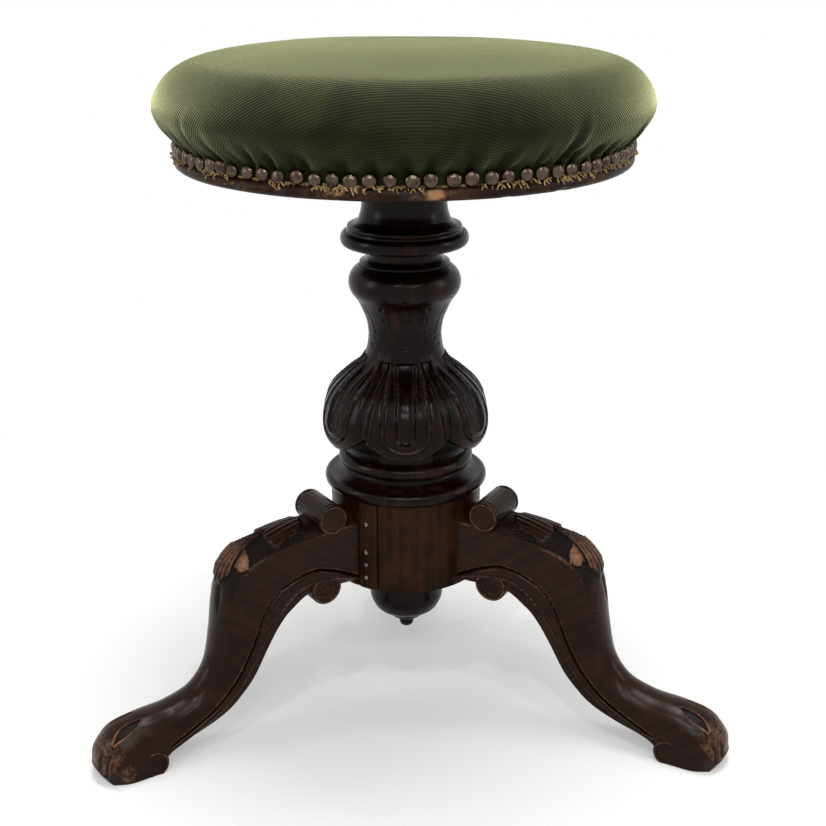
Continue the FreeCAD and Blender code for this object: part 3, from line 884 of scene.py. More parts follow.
@dataclass
class Cushion:
    """Domed, stuffed seat under ribbed velvet, gathered in to the nailed hem."""

    hem: float = HEM_RADIUS
    hem_foot: float = BOARD_BASE + 10.2
    hem_top: float = BOARD_BASE + 19.0
    bulge: float = 179.0
    bulge_height: float = BOARD_BASE + 42.0
    shoulder: float = 150.0
    shoulder_height: float = BOARD_BASE + 72.5
    crown: float = BOARD_BASE + 83.5
    board_top: float = BOARD_BASE + 21.6
    columns: int = 8 * NAILS
    seed: int = 5

    def profile(self) -> Field:
        """The cushion's line from its crown down to its hem.

        Returns:
            (radius, height) points, closer together near the hem.
        """
        rise = self.crown - self.shoulder_height
        sphere = (self.shoulder ** 2 + rise ** 2) / (2 * rise)
        dome = sphere - math.sqrt(sphere ** 2 - (self.shoulder ** 2 + rise ** 2) / 4)
        line = sampled_outline([
            (0.0, self.crown), (self.shoulder, self.shoulder_height, -dome),
            (self.bulge, self.bulge_height, -6.0), (self.hem, self.hem_top, -3.0),
            (self.hem, self.hem_foot),
        ], 1.0, False)
        ends = line[[0, -1]].copy()
        line = softened(line, 4.0, False)
        line[[0, -1]] = ends
        return line

    def folds(self, angle: Field, up: Field) -> Field:
        """How far the velvet is drawn in by its pleats.

        Args:
            angle: Azimuth in radians.
            up: The distance along the velvet above the nails, in millimetres.

        Returns:
            The push in millimetres, negative inwards.
        """
        chance = np.random.default_rng(self.seed)
        total = np.zeros(np.broadcast_shapes(angle.shape, up.shape))
        centre = -math.pi
        while centre < math.pi:
            centre += chance.uniform(0.035, 0.16)
            deep, tall = chance.uniform(0.6, 3.2), chance.uniform(14.0, 44.0)
            half = chance.uniform(1.6, 3.6)
            lean = chance.uniform(-0.16, 0.16)
            off = (np.angle(np.exp(1j * (angle - centre))) * self.hem) - lean * up
            width = half * (1 + up / tall * 1.2)
            fold = -bump(off, 0.0, width) + 0.55 * bump(off, 1.7 * width, width * 0.9)
            total += deep * fold * ramp(up, tall, 2.0)
        return total

    def build(self) -> bpy.types.Object:
        """Makes the closed cushion, with the cloth's own coordinates as an attribute.

        Returns:
            The cushion.
        """
        line = self.profile()
        run = np.concatenate([[0], np.cumsum(np.hypot(*np.diff(line, axis=0).T))])
        whole = run[-1]
        keep = np.interp(np.concatenate([np.linspace(0, 0.58, 30)[:-1], np.linspace(0.58, 1.0, 78)]),
                         run / whole, np.arange(len(run)))
        line = np.stack([np.interp(keep, np.arange(len(run)), line[:, i]) for i in (0, 1)], axis=1)
        run = np.interp(keep, np.arange(len(run)), run)
        angle = circle(self.columns)
        way = np.gradient(line, axis=0)
        way /= np.linalg.norm(way, axis=1, keepdims=True)
        out = np.stack([-way[:, 1], way[:, 0]], axis=1)
        up = (whole - run - (self.hem_top - self.hem_foot))[:, None]
        pitch = np.abs(((angle / (2 * math.pi) * NAILS + 0.25 * NAILS + 0.5) % 1.0) - 0.5)
        nailed = -0.7 * ramp(pitch, 0.5, 0.1) * bump(up, -3.0, 6.0)
        flat = polar(line[:, :1], angle, line[:, 1:])
        inside = ramp(run[:, None], 0.0, 40.0)
        push = self.folds(angle, np.maximum(up, 0.0)) + nailed
        push += 0.9 * lumps(flat, 60.0, 11) * inside * ramp(up, -2.0, 30.0)
        ring = line[:, :1] + out[:, :1] * push
        ring[0] = 0.0
        rows = polar(ring, angle, line[:, 1:] + out[:, 1:] * push)
        rows[0] = rows[0].mean(axis=0)
        cloth = polar(run[:, None], angle, 0.0)
        back = self.hem - 1.2
        inner = [(back, self.hem_foot), (back, self.board_top), (0.0, self.board_top)]
        rows = np.concatenate([rows] + [polar(r, angle, z) for r, z in inner])
        cloth = np.concatenate([cloth, np.repeat(cloth[-1:], 3, axis=0)])
        # Painted shade: darker in the pleats' hollows, at the nails' dips and over the band above the nails,
        # under the bulge.
        grime_and_shade = np.clip(-push / 3.5 + 0.85 * ramp(up, 30.0, 2.0), 0, 1)
        grime_and_shade = np.concatenate([grime_and_shade, np.zeros((3, self.columns))])
        skin = Skin(rows, 0 * grime_and_shade, grime_and_shade, cloth)
        obj = skin_object("seat_cushion", [skin], 80.0)
        grain = obj.data.attributes["grain"]
        grain.name = "cloth"
        return obj

    def dress(self, obj: bpy.types.Object) -> None:
        """Finishes the cushion.

        Args:
            obj: The cushion.
        """
        settle(obj, VELVET, "seat", "ribbed_velvet", "seat_cover", "wadding", "stuffing")


@dataclass
class Hem:
    """What shows below the velvet: the hessian's hem, its frayed ends and the row of domed nails."""

    radius: float = HEM_RADIUS
    foot: float = BOARD_BASE + 8.2
    nail_height: float = BOARD_BASE + 13.3
    nail_head: float = 5.3
    nail_rise: float = 3.6
    fibres: int = 1000

    def build_strip(self) -> bpy.types.Object:
        """Makes the hessian hem between the board's rim and the velvet.

        Returns:
            The strip.
        """
        inner, outer, top = self.radius - 2.1, self.radius - 1.3, self.foot + 12.4
        outline = [(inner, self.foot), (outer, self.foot), (outer, top), (inner, top)]
        return skin_object("scrim_hem", [Turning(outline, 328, 0.4, 0.1, True).skin()])

    def build_nails(self, material: bpy.types.Material) -> bpy.types.Object:
        """Sets the nails round the rim, each a little off its place, size and angle.

        Args:
            material: The nails' metal.

        Returns:
            All the nails as one mesh.
        """
        pattern = Pattern("rim_nails")
        tree = pattern.tree
        pattern.name_sizes(Count=NAILS, Rim=0.16205, Height=0.44, Head=0.0048, Rise=0.0036, Seed=3)
        size = pattern.size
        ball = add_node(tree, "GeometryNodeMeshUVSphere", {"Segments": 20, "Rings": 14, "Radius": 1.0})
        spot = add_node(tree, "GeometryNodeInputPosition").outputs[0]
        axes = add_node(tree, "ShaderNodeSeparateXYZ", {0: spot}).outputs
        cup = pattern.combined(axes["X"], axes["Y"], calc(tree, "MAXIMUM", axes["Z"], -0.12))
        dome = add_node(tree, "GeometryNodeSetPosition", {"Geometry": ball.outputs["Mesh"], "Position": cup})
        head = add_node(tree, "GeometryNodeTransform", {
            "Geometry": dome.outputs[0], "Scale": pattern.combined(size["Head"], size["Head"], size["Rise"]),
        })
        index = add_node(tree, "GeometryNodeInputIndex").outputs[0]
        stray = add_node(tree, "ShaderNodeSeparateXYZ", {
            0: pattern.strayed((-0.13, 0.0, -0.0006), (0.13, 0.0, 0.0006), "Seed"),
        })
        share = calc(tree, "DIVIDE", calc(tree, "ADD", index, stray.outputs["X"]), size["Count"])
        angle = calc(tree, "MULTIPLY_ADD", share, 2 * math.pi, math.radians(FRONT))
        copies = pattern.set_round(head.outputs[0], angle, stray, ((-0.13, -0.13, -0.16), (0.13, 0.13, 0.12)),
                                   (0.93, 1.05), "Z")
        return pattern.make("rim_nails", copies, material, Count=NAILS, Rim=(self.radius + 0.2) * MM,
                            Height=self.nail_height * MM, Head=self.nail_head * MM, Rise=self.nail_rise * MM)

    def build_fray(self, material: bpy.types.Material) -> bpy.types.Object:
        """Scatters the hem's loose jute ends round the rim, in tufts.

        Args:
            material: The jute.

        Returns:
            All the ends as one mesh.
        """
        pattern = Pattern("frayed_ends")
        tree = pattern.tree
        pattern.name_sizes(Count=self.fibres, Rim=0.1628, Height=0.4362, Length=0.0046, Thick=0.00055, Seed=8)
        bend = add_node(tree, "GeometryNodeCurvePrimitiveBezierSegment", {
            "Resolution": 5, "Start": (0, 0, 0), "Start Handle": (0.3, 0.25, 0.2),
            "End Handle": (0.75, -0.45, 0.1), "End": (1.0, 0.1, -0.45),
        })
        size = pattern.size
        ring = add_node(tree, "GeometryNodeCurvePrimitiveCircle", {"Resolution": 4, "Radius": size["Thick"]})
        long = add_node(tree, "GeometryNodeTransform", {"Geometry": bend.outputs[0], "Scale": size["Length"]})
        hair = add_node(tree, "GeometryNodeCurveToMesh", {
            "Curve": long.outputs[0], "Profile Curve": ring.outputs[0], "Fill Caps": True,
        })
        stray = add_node(tree, "ShaderNodeSeparateXYZ", {
            0: pattern.strayed((-math.pi, -0.0009, -0.0011), (math.pi, 0.0006, 0.0016), "Seed"),
        })
        copies = pattern.set_round(hair.outputs[0], stray.outputs["X"], stray,
                                   ((-1.3, -1.3, -0.7), (1.3, 1.3, 0.25)), (0.35, 1.0), "X", True)
        return pattern.make("frayed_ends", copies, material, Count=self.fibres)

    def build(self) -> None:
        """Makes and finishes the hem's pieces."""
        settle(self.build_strip(), STRAW, "seat", "hessian", "scrim")
        settle(self.build_fray(STRAW.material()), None, "seat", "hessian", "scrim")
        settle(self.build_nails(BRONZE.material()), None, "seat", "bronzed_nails", "seat_nails")


@dataclass
class SeatFrame:
    """The turned board with its bead, and the neck and collar under it."""

    board: float = 165.0
    bead: float = 8.5
    rim: float = 159.5
    thickness: float = 21.0
    plate: float = 42.2
    plate_depth: float = 4.1
    collar: float = 47.4
    neck: float = 31.6
    flange: float = 52.0

    def chips(self, theta: Field, radius: Field, height: Field) -> Relief:
        """Knocks and chips along the board's bead.

        Args:
            theta: Azimuth in radians.
            radius: The surface's radius.
            height: Its height.

        Returns:
            The knocks.
        """
        place = polar(radius, theta, 2.0 * height)
        on_bead = ramp(radius, self.board - 6.0, self.board - 2.0)
        rough = ramp(lumps(place, 9.0, 21) + 0.6 * lumps(place, 3.5, 22), 0.95, 1.5)
        largest = bump(np.degrees(theta) - 360.0, FRONT + 5.0, 1.5) * bump(height, BOARD_BASE + 5.0, 3.0)
        return Relief(-0.8 * rough * on_bead - 0.9 * largest * on_bead,
                      (0.5 * rough + 1.2 * largest) * on_bead)

    def build(self) -> None:
        """Makes and finishes the board and the neck."""
        side = self.board - self.bead / 2
        top = BOARD_BASE + self.thickness
        board = Turning([
            (0.0, BOARD_BASE + self.plate_depth), (self.plate, BOARD_BASE + self.plate_depth),
            (self.plate, BOARD_BASE), (side, BOARD_BASE),
            (side, BOARD_BASE + self.bead, self.bead / 2 - 0.01),
            (self.rim, BOARD_BASE + self.bead), (self.rim, top - 1.0), (self.rim - 1.0, top),
            (0.0, top),
        ], 360, 1.3, 0.5, carving=self.chips)
        piece = skin_object("seat_board_turned", [board.skin()])
        settle(piece, BOARD_POLISH, "seat", "polished_wood", "seat_board")
        bore, foot = 12.6, COLLAR_BASE
        ledge = BOARD_BASE - 6.0
        neck = Turning([
            (bore, foot), (33.0, foot), (self.collar - 2.5, foot + 3.2, -0.4),
            (self.collar, foot + 7.0, 0.6), (self.collar - 1.4, foot + 12.6, 0.5),
            (self.collar - 4.4, foot + 13.4), (self.collar - 5.3, foot + 16.0, 0.5),
            (self.collar - 5.4, foot + 18.0, 0.4), (self.neck + 2.0, foot + 24.0, -2.0),
            (self.neck, foot + 33.0, -0.4), (self.neck, ledge - 12.0),
            (self.flange - 4.0, ledge, -4.0), (self.flange, ledge), (self.flange, BOARD_BASE, 1.2),
            (bore, BOARD_BASE),
        ], 240, 0.9, 0.5, True, seed=2)
        piece = skin_object("seat_neck_turned", [neck.skin()])
        settle(piece, COLUMN_POLISH, "seat", "polished_wood", "seat_neck")


# Column


@dataclass
class Pillar:
    """The turned column: vase and waist, carved bulb, torus, ring and hub, with the drop below."""

    bulb: float = 63.4
    waist: float = 27.3
    band: float = 30.5
    vase: float = 41.3
    necking: float = 27.0
    bead: float = 33.0
    ring: float = 62.4
    torus: float = 51.0
    torus_neck: float = 45.5
    drop: float = 28.5
    drop_foot: float = 51.0
    lobes: int = 6
    carving_turn: float = -1.6
    patch_start: float = -130.5
    patch_end: float = -113.2

    def lobe_turn(self, theta: Field) -> tuple[Field, float]:
        """Each place's turn from the middle of its lobe.

        Args:
            theta: Azimuth in radians.

        Returns:
            The turn and a lobe's width, in degrees.
        """
        sector = 360.0 / self.lobes
        return (np.degrees(theta) - FRONT - self.carving_turn + sector / 2) % sector - sector / 2, sector

    def punching(self, theta: Field, radius: Field, height: Field) -> Relief:
        """The dots, tapered grooves and small crescents punched and cut in the waist.

        Args:
            theta: Azimuth in radians.
            radius: The surface's radius.
            height: Its height.

        Returns:
            The marks.
        """
        turn, sector = self.lobe_turn(theta)
        side = np.radians(turn) * radius
        between = np.radians((turn + sector) % sector - sector / 2) * radius
        crown = BULB_TOP + 20.0
        up = (height - crown) / 24.0
        inside = ramp(up, -0.04, 0.02) * ramp(up, 1.04, 0.9)
        groove = bump(np.abs(side), 4.4 - 2.6 * np.clip(up, 0, 1), 0.45) * inside
        arch = bump(np.hypot(side, 1.6 * (height - crown + 4.5)) - 5.2, 0.0, 0.6) * (height > crown - 4.5)
        dots = np.zeros(np.broadcast_shapes(theta.shape, height.shape))
        for level in (41.0, 32.2, 22.8):
            dots = dots + bump(np.hypot(between, height - BULB_TOP - level), 0.0, 1.1)
        notch = bump(np.hypot(between / 2.4, height - BULB_TOP - 16.5), 0.0, 0.7)
        nick = (bump(np.hypot(side / 1.6, height - BULB_TOP - 11.5) - 1.3, 0.0, 0.45)
                + bump(np.hypot(side / 1.5, height - BULB_TOP - 48.5), 0.0, 1.0))
        reeds = (sum(bump(between, place, 0.4) for place in (-3.6, -1.2, 1.2, 3.6))
                 * ramp(height, BULB_TOP + 14.5, BULB_TOP + 12.5))
        ledge = bump(height, BULB_TOP - 0.2, 0.7)
        cut = 0.5 * groove + 0.45 * arch + 0.9 * dots + 0.7 * notch + 0.6 * nick + 0.35 * reeds + 0.4 * ledge
        # Every cut is darkened: painted shade, with some dirt.
        return Relief(-cut, 0.25 * arch, np.clip(1.1 * cut, 0, 1))

    def build_vase(self) -> bpy.types.Object:
        """Makes the upper turning: waist, vase and necking, bored for the iron nut.

        Returns:
            The piece.
        """
        upper = Turning([
            (18.1, BULB_TOP - 14.0), (self.band - 6.5, BULB_TOP - 14.0),
            (self.band - 6.5, BULB_TOP + 0.2), (self.band, BULB_TOP + 0.4),
            (self.band - 0.8, BULB_TOP + 2.4), (32.0, WAIST_TOP, self.waist - self.band),
            (self.vase - 3.0, WAIST_TOP + 11.5, -0.5), (36.5, VASE_TOP - 1.3, 4.6),
            (self.bead, VASE_TOP + 1.0), (self.bead, VASE_TOP + 3.5, 0.8),
            (self.necking, VASE_TOP + 6.0, -0.8), (self.necking, COLUMN_TOP), (24.6, COLUMN_TOP),
            (24.6, COLUMN_TOP - 4.1), (18.1, COLUMN_TOP - 4.1),
        ], 340, 0.78, 0.45, True, self.punching, 3)
        return skin_object("column_vase", [upper.skin()])

    def lobing(self, theta: Field, radius: Field, height: Field) -> Relief:
        """The bulb's lobes: each has a flute with a thin arris on both sides, a bead that runs round it in a
        U, plain panels, and a scalloped foot; a flat strip runs up between two lobes.

        Args:
            theta: Azimuth in radians.
            radius: The surface's radius.
            height: Its height.

        Returns:
            The carving.
        """
        turn, sector = self.lobe_turn(theta)
        side = np.abs(np.radians(turn) * radius)
        valley = np.abs(np.radians(sector / 2) * radius - side)
        full = ramp(height, BULB_TOP + 3.0, BULB_TOP + 1.0)
        # flute with parallel sides and a round foot, chattered by the gouge low down
        flute_half, flute_foot = 7.0, BULB_BASE + 23.0
        across = np.hypot(side, np.maximum(flute_foot + flute_half - height, 0.0)) / flute_half
        flute = np.sqrt(np.clip(1 - across ** 2, 0, 1))
        chatter = flute * np.sin(height * 4.2) * ramp(height, BULB_BASE + 50.0, BULB_BASE + 36.0)
        arris = bump(across, 1.07, 0.07)
        # U-shaped bead
        level = BULB_BASE + 31.0
        wide = np.interp(height, (level, level + 11.0, level + 30.0, BULB_TOP), (17.4, 17.3, 14.4, 10.8))
        ellipse = np.hypot(side, np.maximum(level - height, 0.0) * 1.25)
        to_bead = ellipse - np.where(height > level, wide, 17.4)
        bead = 0.9 * bump(to_bead, 0.0, 0.9) - 0.7 * bump(to_bead, -1.8, 0.7) - 0.9 * bump(to_bead, 1.8, 0.8)
        # strip between two lobes
        strip_half = 0.8 + 1.3 * ramp(height, BULB_BASE + 18.0, BULB_BASE + 40.0)
        gap = valley - strip_half
        strip = -1.9 * bump(gap, 1.2, 1.1) - 0.9 * ramp(gap, 0.5, -0.5) + 0.4 * bump(gap, -0.4, 0.4)
        reach = np.abs(turn) / (sector / 2)
        swell = 1.1 * (1 - reach ** 2) - 0.3
        foot = BULB_BASE + np.interp(reach, (0.0, 0.33, 0.58, 0.75, 0.93, 1.0),
                                     (10.5, 11.2, 14.8, 18.5, 23.0, 26.0))
        under = ramp(height, foot, foot - 2.5) * ramp(height, BULB_BASE - 1.0, BULB_BASE + 3.0)
        lip = bump(height, foot + 0.8, 1.6)
        above = 1 - under
        push = full * above * (swell - 3.6 * flute + 0.1 * chatter + 0.5 * arris + bead + strip) - 7.0 * under
        wear = full * (0.5 * bump(to_bead, 0.0, 0.7) + 0.42 * arris + 0.3 * bump(gap, -0.4, 0.5)
                       + 0.22 * ramp(height, BULB_BASE + 30.0, BULB_BASE + 14.0)) * above + 0.2 * lip
        # Painted shade under the lobes' scalloped foot and in the grooves beside the bead, the strip and the
        # flute's edge.
        grime_and_shade = full * (0.7 * bump(to_bead, 1.8, 0.8) + 0.5 * bump(to_bead, -1.8, 0.6)
                        + 0.8 * bump(gap, 1.2, 0.9) + 0.5 * bump(across, 0.93, 0.06)) + 0.9 * under
        return Relief(push, wear, np.clip(grime_and_shade, 0, 1))

    def build_bulb(self) -> bpy.types.Object:
        """Makes the carved bulb.

        Returns:
            The piece.
        """
        height = BULB_TOP - BULB_BASE
        bulb = Turning([
            (0.0, BULB_BASE - 3.0), (self.torus_neck - 1.0, BULB_BASE - 3.0),
            (self.torus_neck + 1.5, BULB_BASE), (self.bulb, BULB_BASE + height * 0.34, 5.5),
            (self.bulb - 10.2, BULB_TOP - 22.0, 2.8), (self.bulb - 24.6, BULB_TOP - 9.4, 0.4),
            (self.band, BULB_TOP, -0.9), (self.band - 2.0, BULB_TOP + 2.0), (0.0, BULB_TOP + 2.0),
        ], 480, 0.85, 0.45, carving=self.lobing, seed=4)
        return skin_object("column_bulb", [bulb.skin()])

    def joints(self, theta: Field, radius: Field, height: Field) -> Relief:
        """The hub's joint lines and the bed of its repair strip.

        Args:
            theta: Azimuth in radians.
            radius: The surface's radius.
            height: Its height.

        Returns:
            The marks.
        """
        turn = (np.degrees(theta) + 180.0) % 360.0 - 180.0
        on_hub = (height > HUB_BASE - 1) & (height < HUB_TOP) & (radius > HUB_RADIUS - 4)
        bed = ((turn > self.patch_start) & (turn < self.patch_end) & on_hub).astype(float)
        lines = np.zeros(np.broadcast_shapes(theta.shape, height.shape))
        for azimuth in (self.patch_start - 1.2, -42.6, 42.0, 138.0):
            lines = lines + bump(np.radians(turn - azimuth) * HUB_RADIUS, 0.0, 0.5) * on_hub
        return Relief(-0.5 * lines - 4.0 * bed, 0.0, np.clip(0.9 * lines, 0, 1))

    def build_hub(self) -> bpy.types.Object:
        """Makes the hub.

        Returns:
            The piece.
        """
        hub = Turning([
            (0.0, HUB_BASE), (HUB_RADIUS, HUB_BASE), (HUB_RADIUS, HUB_TOP + 0.5),
            (0.0, HUB_TOP + 0.5),
        ], 300, 0.9, 0.5, carving=self.joints, seed=5)
        return skin_object("column_hub", [hub.skin()])

    def build_ring(self) -> bpy.types.Object:
        """Makes the ring over the hub and the torus under the bulb.

        Returns:
            The piece.
        """
        ring = Turning([
            (0.0, HUB_TOP - 0.5), (HUB_RADIUS - 0.6, HUB_TOP - 0.5),
            (HUB_RADIUS + 1.5, HUB_TOP + 1.5), (self.ring, HUB_TOP + 6.3, 1.0),
            (self.ring - 3.0, HUB_TOP + 10.5, 1.0), (self.torus_neck + 1.0, RING_TOP - 1.5, -1.5),
            (self.torus_neck + 1.0, RING_TOP), (self.torus_neck, RING_TOP + 1.5),
            (self.torus_neck + 1.5, BULB_BASE, self.torus - self.torus_neck),
            (self.torus_neck - 3.0, BULB_BASE + 1.0), (0.0, BULB_BASE + 1.0),
        ], 300, 0.9, 0.5, seed=7)
        return skin_object("column_ring", [ring.skin()])

    def build_drop(self) -> bpy.types.Object:
        """Makes the turned drop under the hub.

        Returns:
            The piece.
        """
        foot, button, disc = self.drop_foot, 5.7, 13.5
        drop = Turning([
            (0.0, foot), (button, foot + 4.0, 1.75), (button - 1.2, foot + 7.8, 0.4),
            (disc - 3.0, foot + 9.5), (disc, foot + 13.0, 0.6), (disc + 2.0, foot + 15.5),
            (self.drop - 2.0, foot + 23.5, 2.0), (self.drop, foot + 36.0, 1.2),
            (self.drop, HUB_BASE), (0.0, HUB_BASE),
        ], 160, 0.6, 0.4, seed=6)
        return skin_object("pendant_drop_turned", [drop.skin()])

    def build_strip(self) -> bpy.types.Object:
        """Makes the repair strip let into the hub.

        Returns:
            The strip.
        """
        inner, outer = HUB_RADIUS - 5.5, HUB_RADIUS + 0.15
        first, last = math.radians(self.patch_start + 0.5), math.radians(self.patch_end - 0.5)
        across = 26
        turn = np.linspace(first, last, across)
        ring = np.concatenate([np.stack([outer * np.cos(turn), outer * np.sin(turn)], axis=1),
                               np.stack([inner * np.cos(turn[::-1]), inner * np.sin(turn[::-1])], axis=1)])
        ring = softened(ring, 0.6, True)
        heights = [HUB_BASE + 0.1, *np.linspace(HUB_BASE + 0.6, HUB_TOP - 0.8, 60), HUB_TOP - 0.2]
        rows = np.stack([np.concatenate([ring, np.full((len(ring), 1), z)], axis=1) for z in heights])
        middle = rows.mean(axis=1, keepdims=True)
        rows[[0, -1]] = middle[[0, -1]] + (rows[[0, -1]] - middle[[0, -1]]) * 0.97
        caps = [np.repeat(middle[i], len(ring), axis=0)[None] for i in (0, -1)]
        rows = np.concatenate([caps[0], rows, caps[1]])
        edge = np.zeros(rows.shape[:2])
        edge[:, [0, across - 1]] = 0.6
        rows = rows + 0.12 * lumps(rows, 14.0, 31)[..., None]
        skin = Skin(rows, 0.15 + 0 * edge, edge)
        return skin_object("hub_repair_strip", [skin], 50.0)

    def build(self) -> None:
        """Makes and finishes the column's pieces."""
        for piece, finish, node in (
            (self.build_vase(), COLUMN_POLISH, "column"),
            (self.build_bulb(), COLUMN_POLISH, "column"),
            (self.build_ring(), COLUMN_POLISH, "column"),
            (self.build_hub(), HUB_POLISH, "column"),
            (self.build_strip(), HUB_POLISH, "hub_patch"),
            (self.build_drop(), COLUMN_POLISH, "pendant_drop"),
        ):
            settle(piece, finish, "stand", "polished_wood", node)


# Legs


class LegSide(Enum):
    """Which leg it is: its name, its azimuth in degrees and its own seed for wear."""

    LEFT = ("leg_left", -150.0, 41)
    RIGHT = ("leg_right", -30.0, 42)
    BACK = ("leg_back", 90.0, 43)


@dataclass
class CarvedLeg:
    """A cabriole leg with a carved knee, moulded sides and scrolls, drawn along +X and turned to its place.

    Its stations are (reach, height) on the upper and lower lines, the width and the crown of the upper side.
    """

    side: LegSide
    stations: tuple[tuple[Point, Point, float, float], ...] = (
        ((52.0, 168.0), (52.0, 112.0), 39.0, 8.0),
        ((72.0, 167.5), (70.0, 112.0), 39.0, 8.5),
        ((94.0, 166.5), (95.0, 113.0), 39.0, 10.0),
        ((120.0, 163.5), (114.0, 105.0), 39.0, 11.0),
        ((144.0, 157.5), (125.0, 94.0), 39.0, 11.0),
        ((159.5, 144.0), (134.0, 80.0), 38.0, 11.0),
        ((166.5, 120.0), (140.5, 67.0), 35.0, 12.0),
        ((170.5, 95.0), (146.5, 56.0), 33.0, 12.0),
        ((177.0, 69.0), (155.0, 45.5), 31.5, 12.0),
        ((189.0, 53.5), (168.5, 33.5), 31.5, 11.0),
        ((208.0, 46.0), (188.0, 22.5), 33.0, 10.5),
        ((236.0, 42.5), (215.0, 13.0), 37.0, 12.0),
        ((255.0, 36.0), (232.0, 0.0), 41.0, 12.0),
        ((266.0, 22.0), (250.0, 0.0), 39.0, 11.0),
        ((267.0, 13.0), (259.0, 0.0), 30.0, 6.0),
    )
    row_step: float = 1.0
    side_columns: int = 48
    top_columns: int = 64
    foot_columns: int = 12
    roll: Point = (76.0, 168.0, 11.6)
    scroll: Point = (82.0, 112.0, 12.7)
    heel: Point = (228.0, 8.6, 11.0)
    width: float = 39.0

    def lines(self) -> tuple[Field, Field, Field, Field, Field]:
        """The leg's upper and lower lines, widths and crowns at every row.

        Returns:
            Upper points, lower points, widths, crowns and the distance along the upper line.
        """
        top = np.array([s[0] for s in self.stations])
        low = np.array([s[1] for s in self.stations])
        rest = np.array([s[2:] for s in self.stations])
        whole = np.concatenate([top, low, rest], axis=1)
        gap = (np.hypot(*np.diff(top, axis=0).T) + np.hypot(*np.diff(low, axis=0).T)) / 2
        knot = np.concatenate([[0.0], np.cumsum(gap)])
        slope = np.gradient(whole, knot, axis=0)
        at = np.linspace(0.0, knot[-1], int(knot[-1] / self.row_step))
        k = np.clip(np.searchsorted(knot, at) - 1, 0, len(knot) - 2)
        span = (knot[k + 1] - knot[k])[:, None]
        t = ((at - knot[k]) / span[:, 0])[:, None]
        value = ((2 * t ** 3 - 3 * t ** 2 + 1) * whole[k] + (t ** 3 - 2 * t ** 2 + t) * span * slope[k]
                 + (3 * t ** 2 - 2 * t ** 3) * whole[k + 1] + (t ** 3 - t ** 2) * span * slope[k + 1])
        value[:, 3] = np.maximum(value[:, 3], 0.0)
        run = np.concatenate([[0.0], np.cumsum(np.hypot(*np.diff(value[:, :2], axis=0).T))])
        return value[:, :2], value[:, 2:4], value[:, 4], value[:, 5], run

    def knee_leaf(self, run: Field, off: Field) -> Relief:
        """The knee's carving: a leaf that fans from its root, a curled leaf behind it, the punched ground
        round them, a husk on the shin and the toe's gouges.

        Args:
            run: The distance along the leg's upper line, in millimetres.
            off: The distance across from the leg's middle.

        Returns:
            The carving.
        """
        side = np.abs(off)
        bounds = ramp(run, 27.0, 31.0) * ramp(run, 132.0, 120.0) * ramp(side, 19.2, 18.2)
        # fanned leaf: its edges toward the hub and the toe, over the distance from the middle
        near = np.interp(side, (0.0, 3.4, 5.9, 10.0, 15.2, 18.5, 19.5),
                         (71.0, 84.0, 92.5, 93.6, 95.0, 99.0, 130.0))
        far = np.interp(side, (0.0, 4.0, 6.5, 9.5, 11.6, 12.2, 13.0, 15.5, 17.2, 18.5, 19.5),
                        (129.0, 127.0, 122.0, 118.0, 113.0, 106.0, 107.0, 107.5, 105.0, 100.0, 90.0))
        leaf = ramp(run - near, -0.6, 0.8) * ramp(far - run, -0.6, 0.8)
        slant = side / np.maximum(run - 66.0, 4.0)
        phase = np.interp(slant, (0.0, 0.09, 0.175, 0.25, 0.60), (0.0, 1.0, 2.0, 3.0, 4.0))
        pillow = np.abs(np.sin(math.pi * phase)) ** 0.55
        slit = bump(slant, 0.25, 0.013) * ramp(run, 84.0, 92.0)
        # curled leaf
        back = np.interp(side, (0.0, 10.2, 13.0, 14.2, 14.8, 16.1, 18.6, 19.5),
                         (42.0, 46.5, 50.0, 58.0, 64.0, 67.5, 71.0, 90.0))
        tip = np.interp(side, (0.0, 5.0, 11.0, 15.3, 18.6, 19.5), (72.0, 76.0, 75.6, 74.2, 71.2, 60.0))
        curl = ramp(run - back, -0.6, 0.8) * ramp(tip - run, -0.6, 0.8)
        vein = np.abs(np.sin(math.pi * np.clip((side - (run - 46.0) * 0.17) / 4.4, -3, 3))) ** 0.6
        pit = bump(np.hypot((run - 49.5) / 1.3, side - 10.6), 0.0, 1.5)
        raised = np.maximum(leaf, curl)
        ground = bounds * (1 - raised) * ramp(run, 45.0, 48.5)
        slope = bounds * (1 - raised) * ramp(run, 48.0, 45.0)
        edge_line = bump(run - near, 0.2, 0.7) * (side > 3.0) * ramp(run, 110.0, 104.0)
        # husk and small cuts on the shin
        path = 3.5 + (run - 126.0) * 0.12
        husk = (bump(off - path, 0.0, 2.6 * ramp(run, 152.0, 130.0) + 0.5)
                * ramp(run, 125.0, 129.0) * ramp(run, 151.0, 144.0))
        vee = (bump(side - 9.0 - (152.0 - run) * 0.9, 0.0, 0.8)
               * ramp(run, 143.0, 145.0) * ramp(run, 153.0, 150.0))
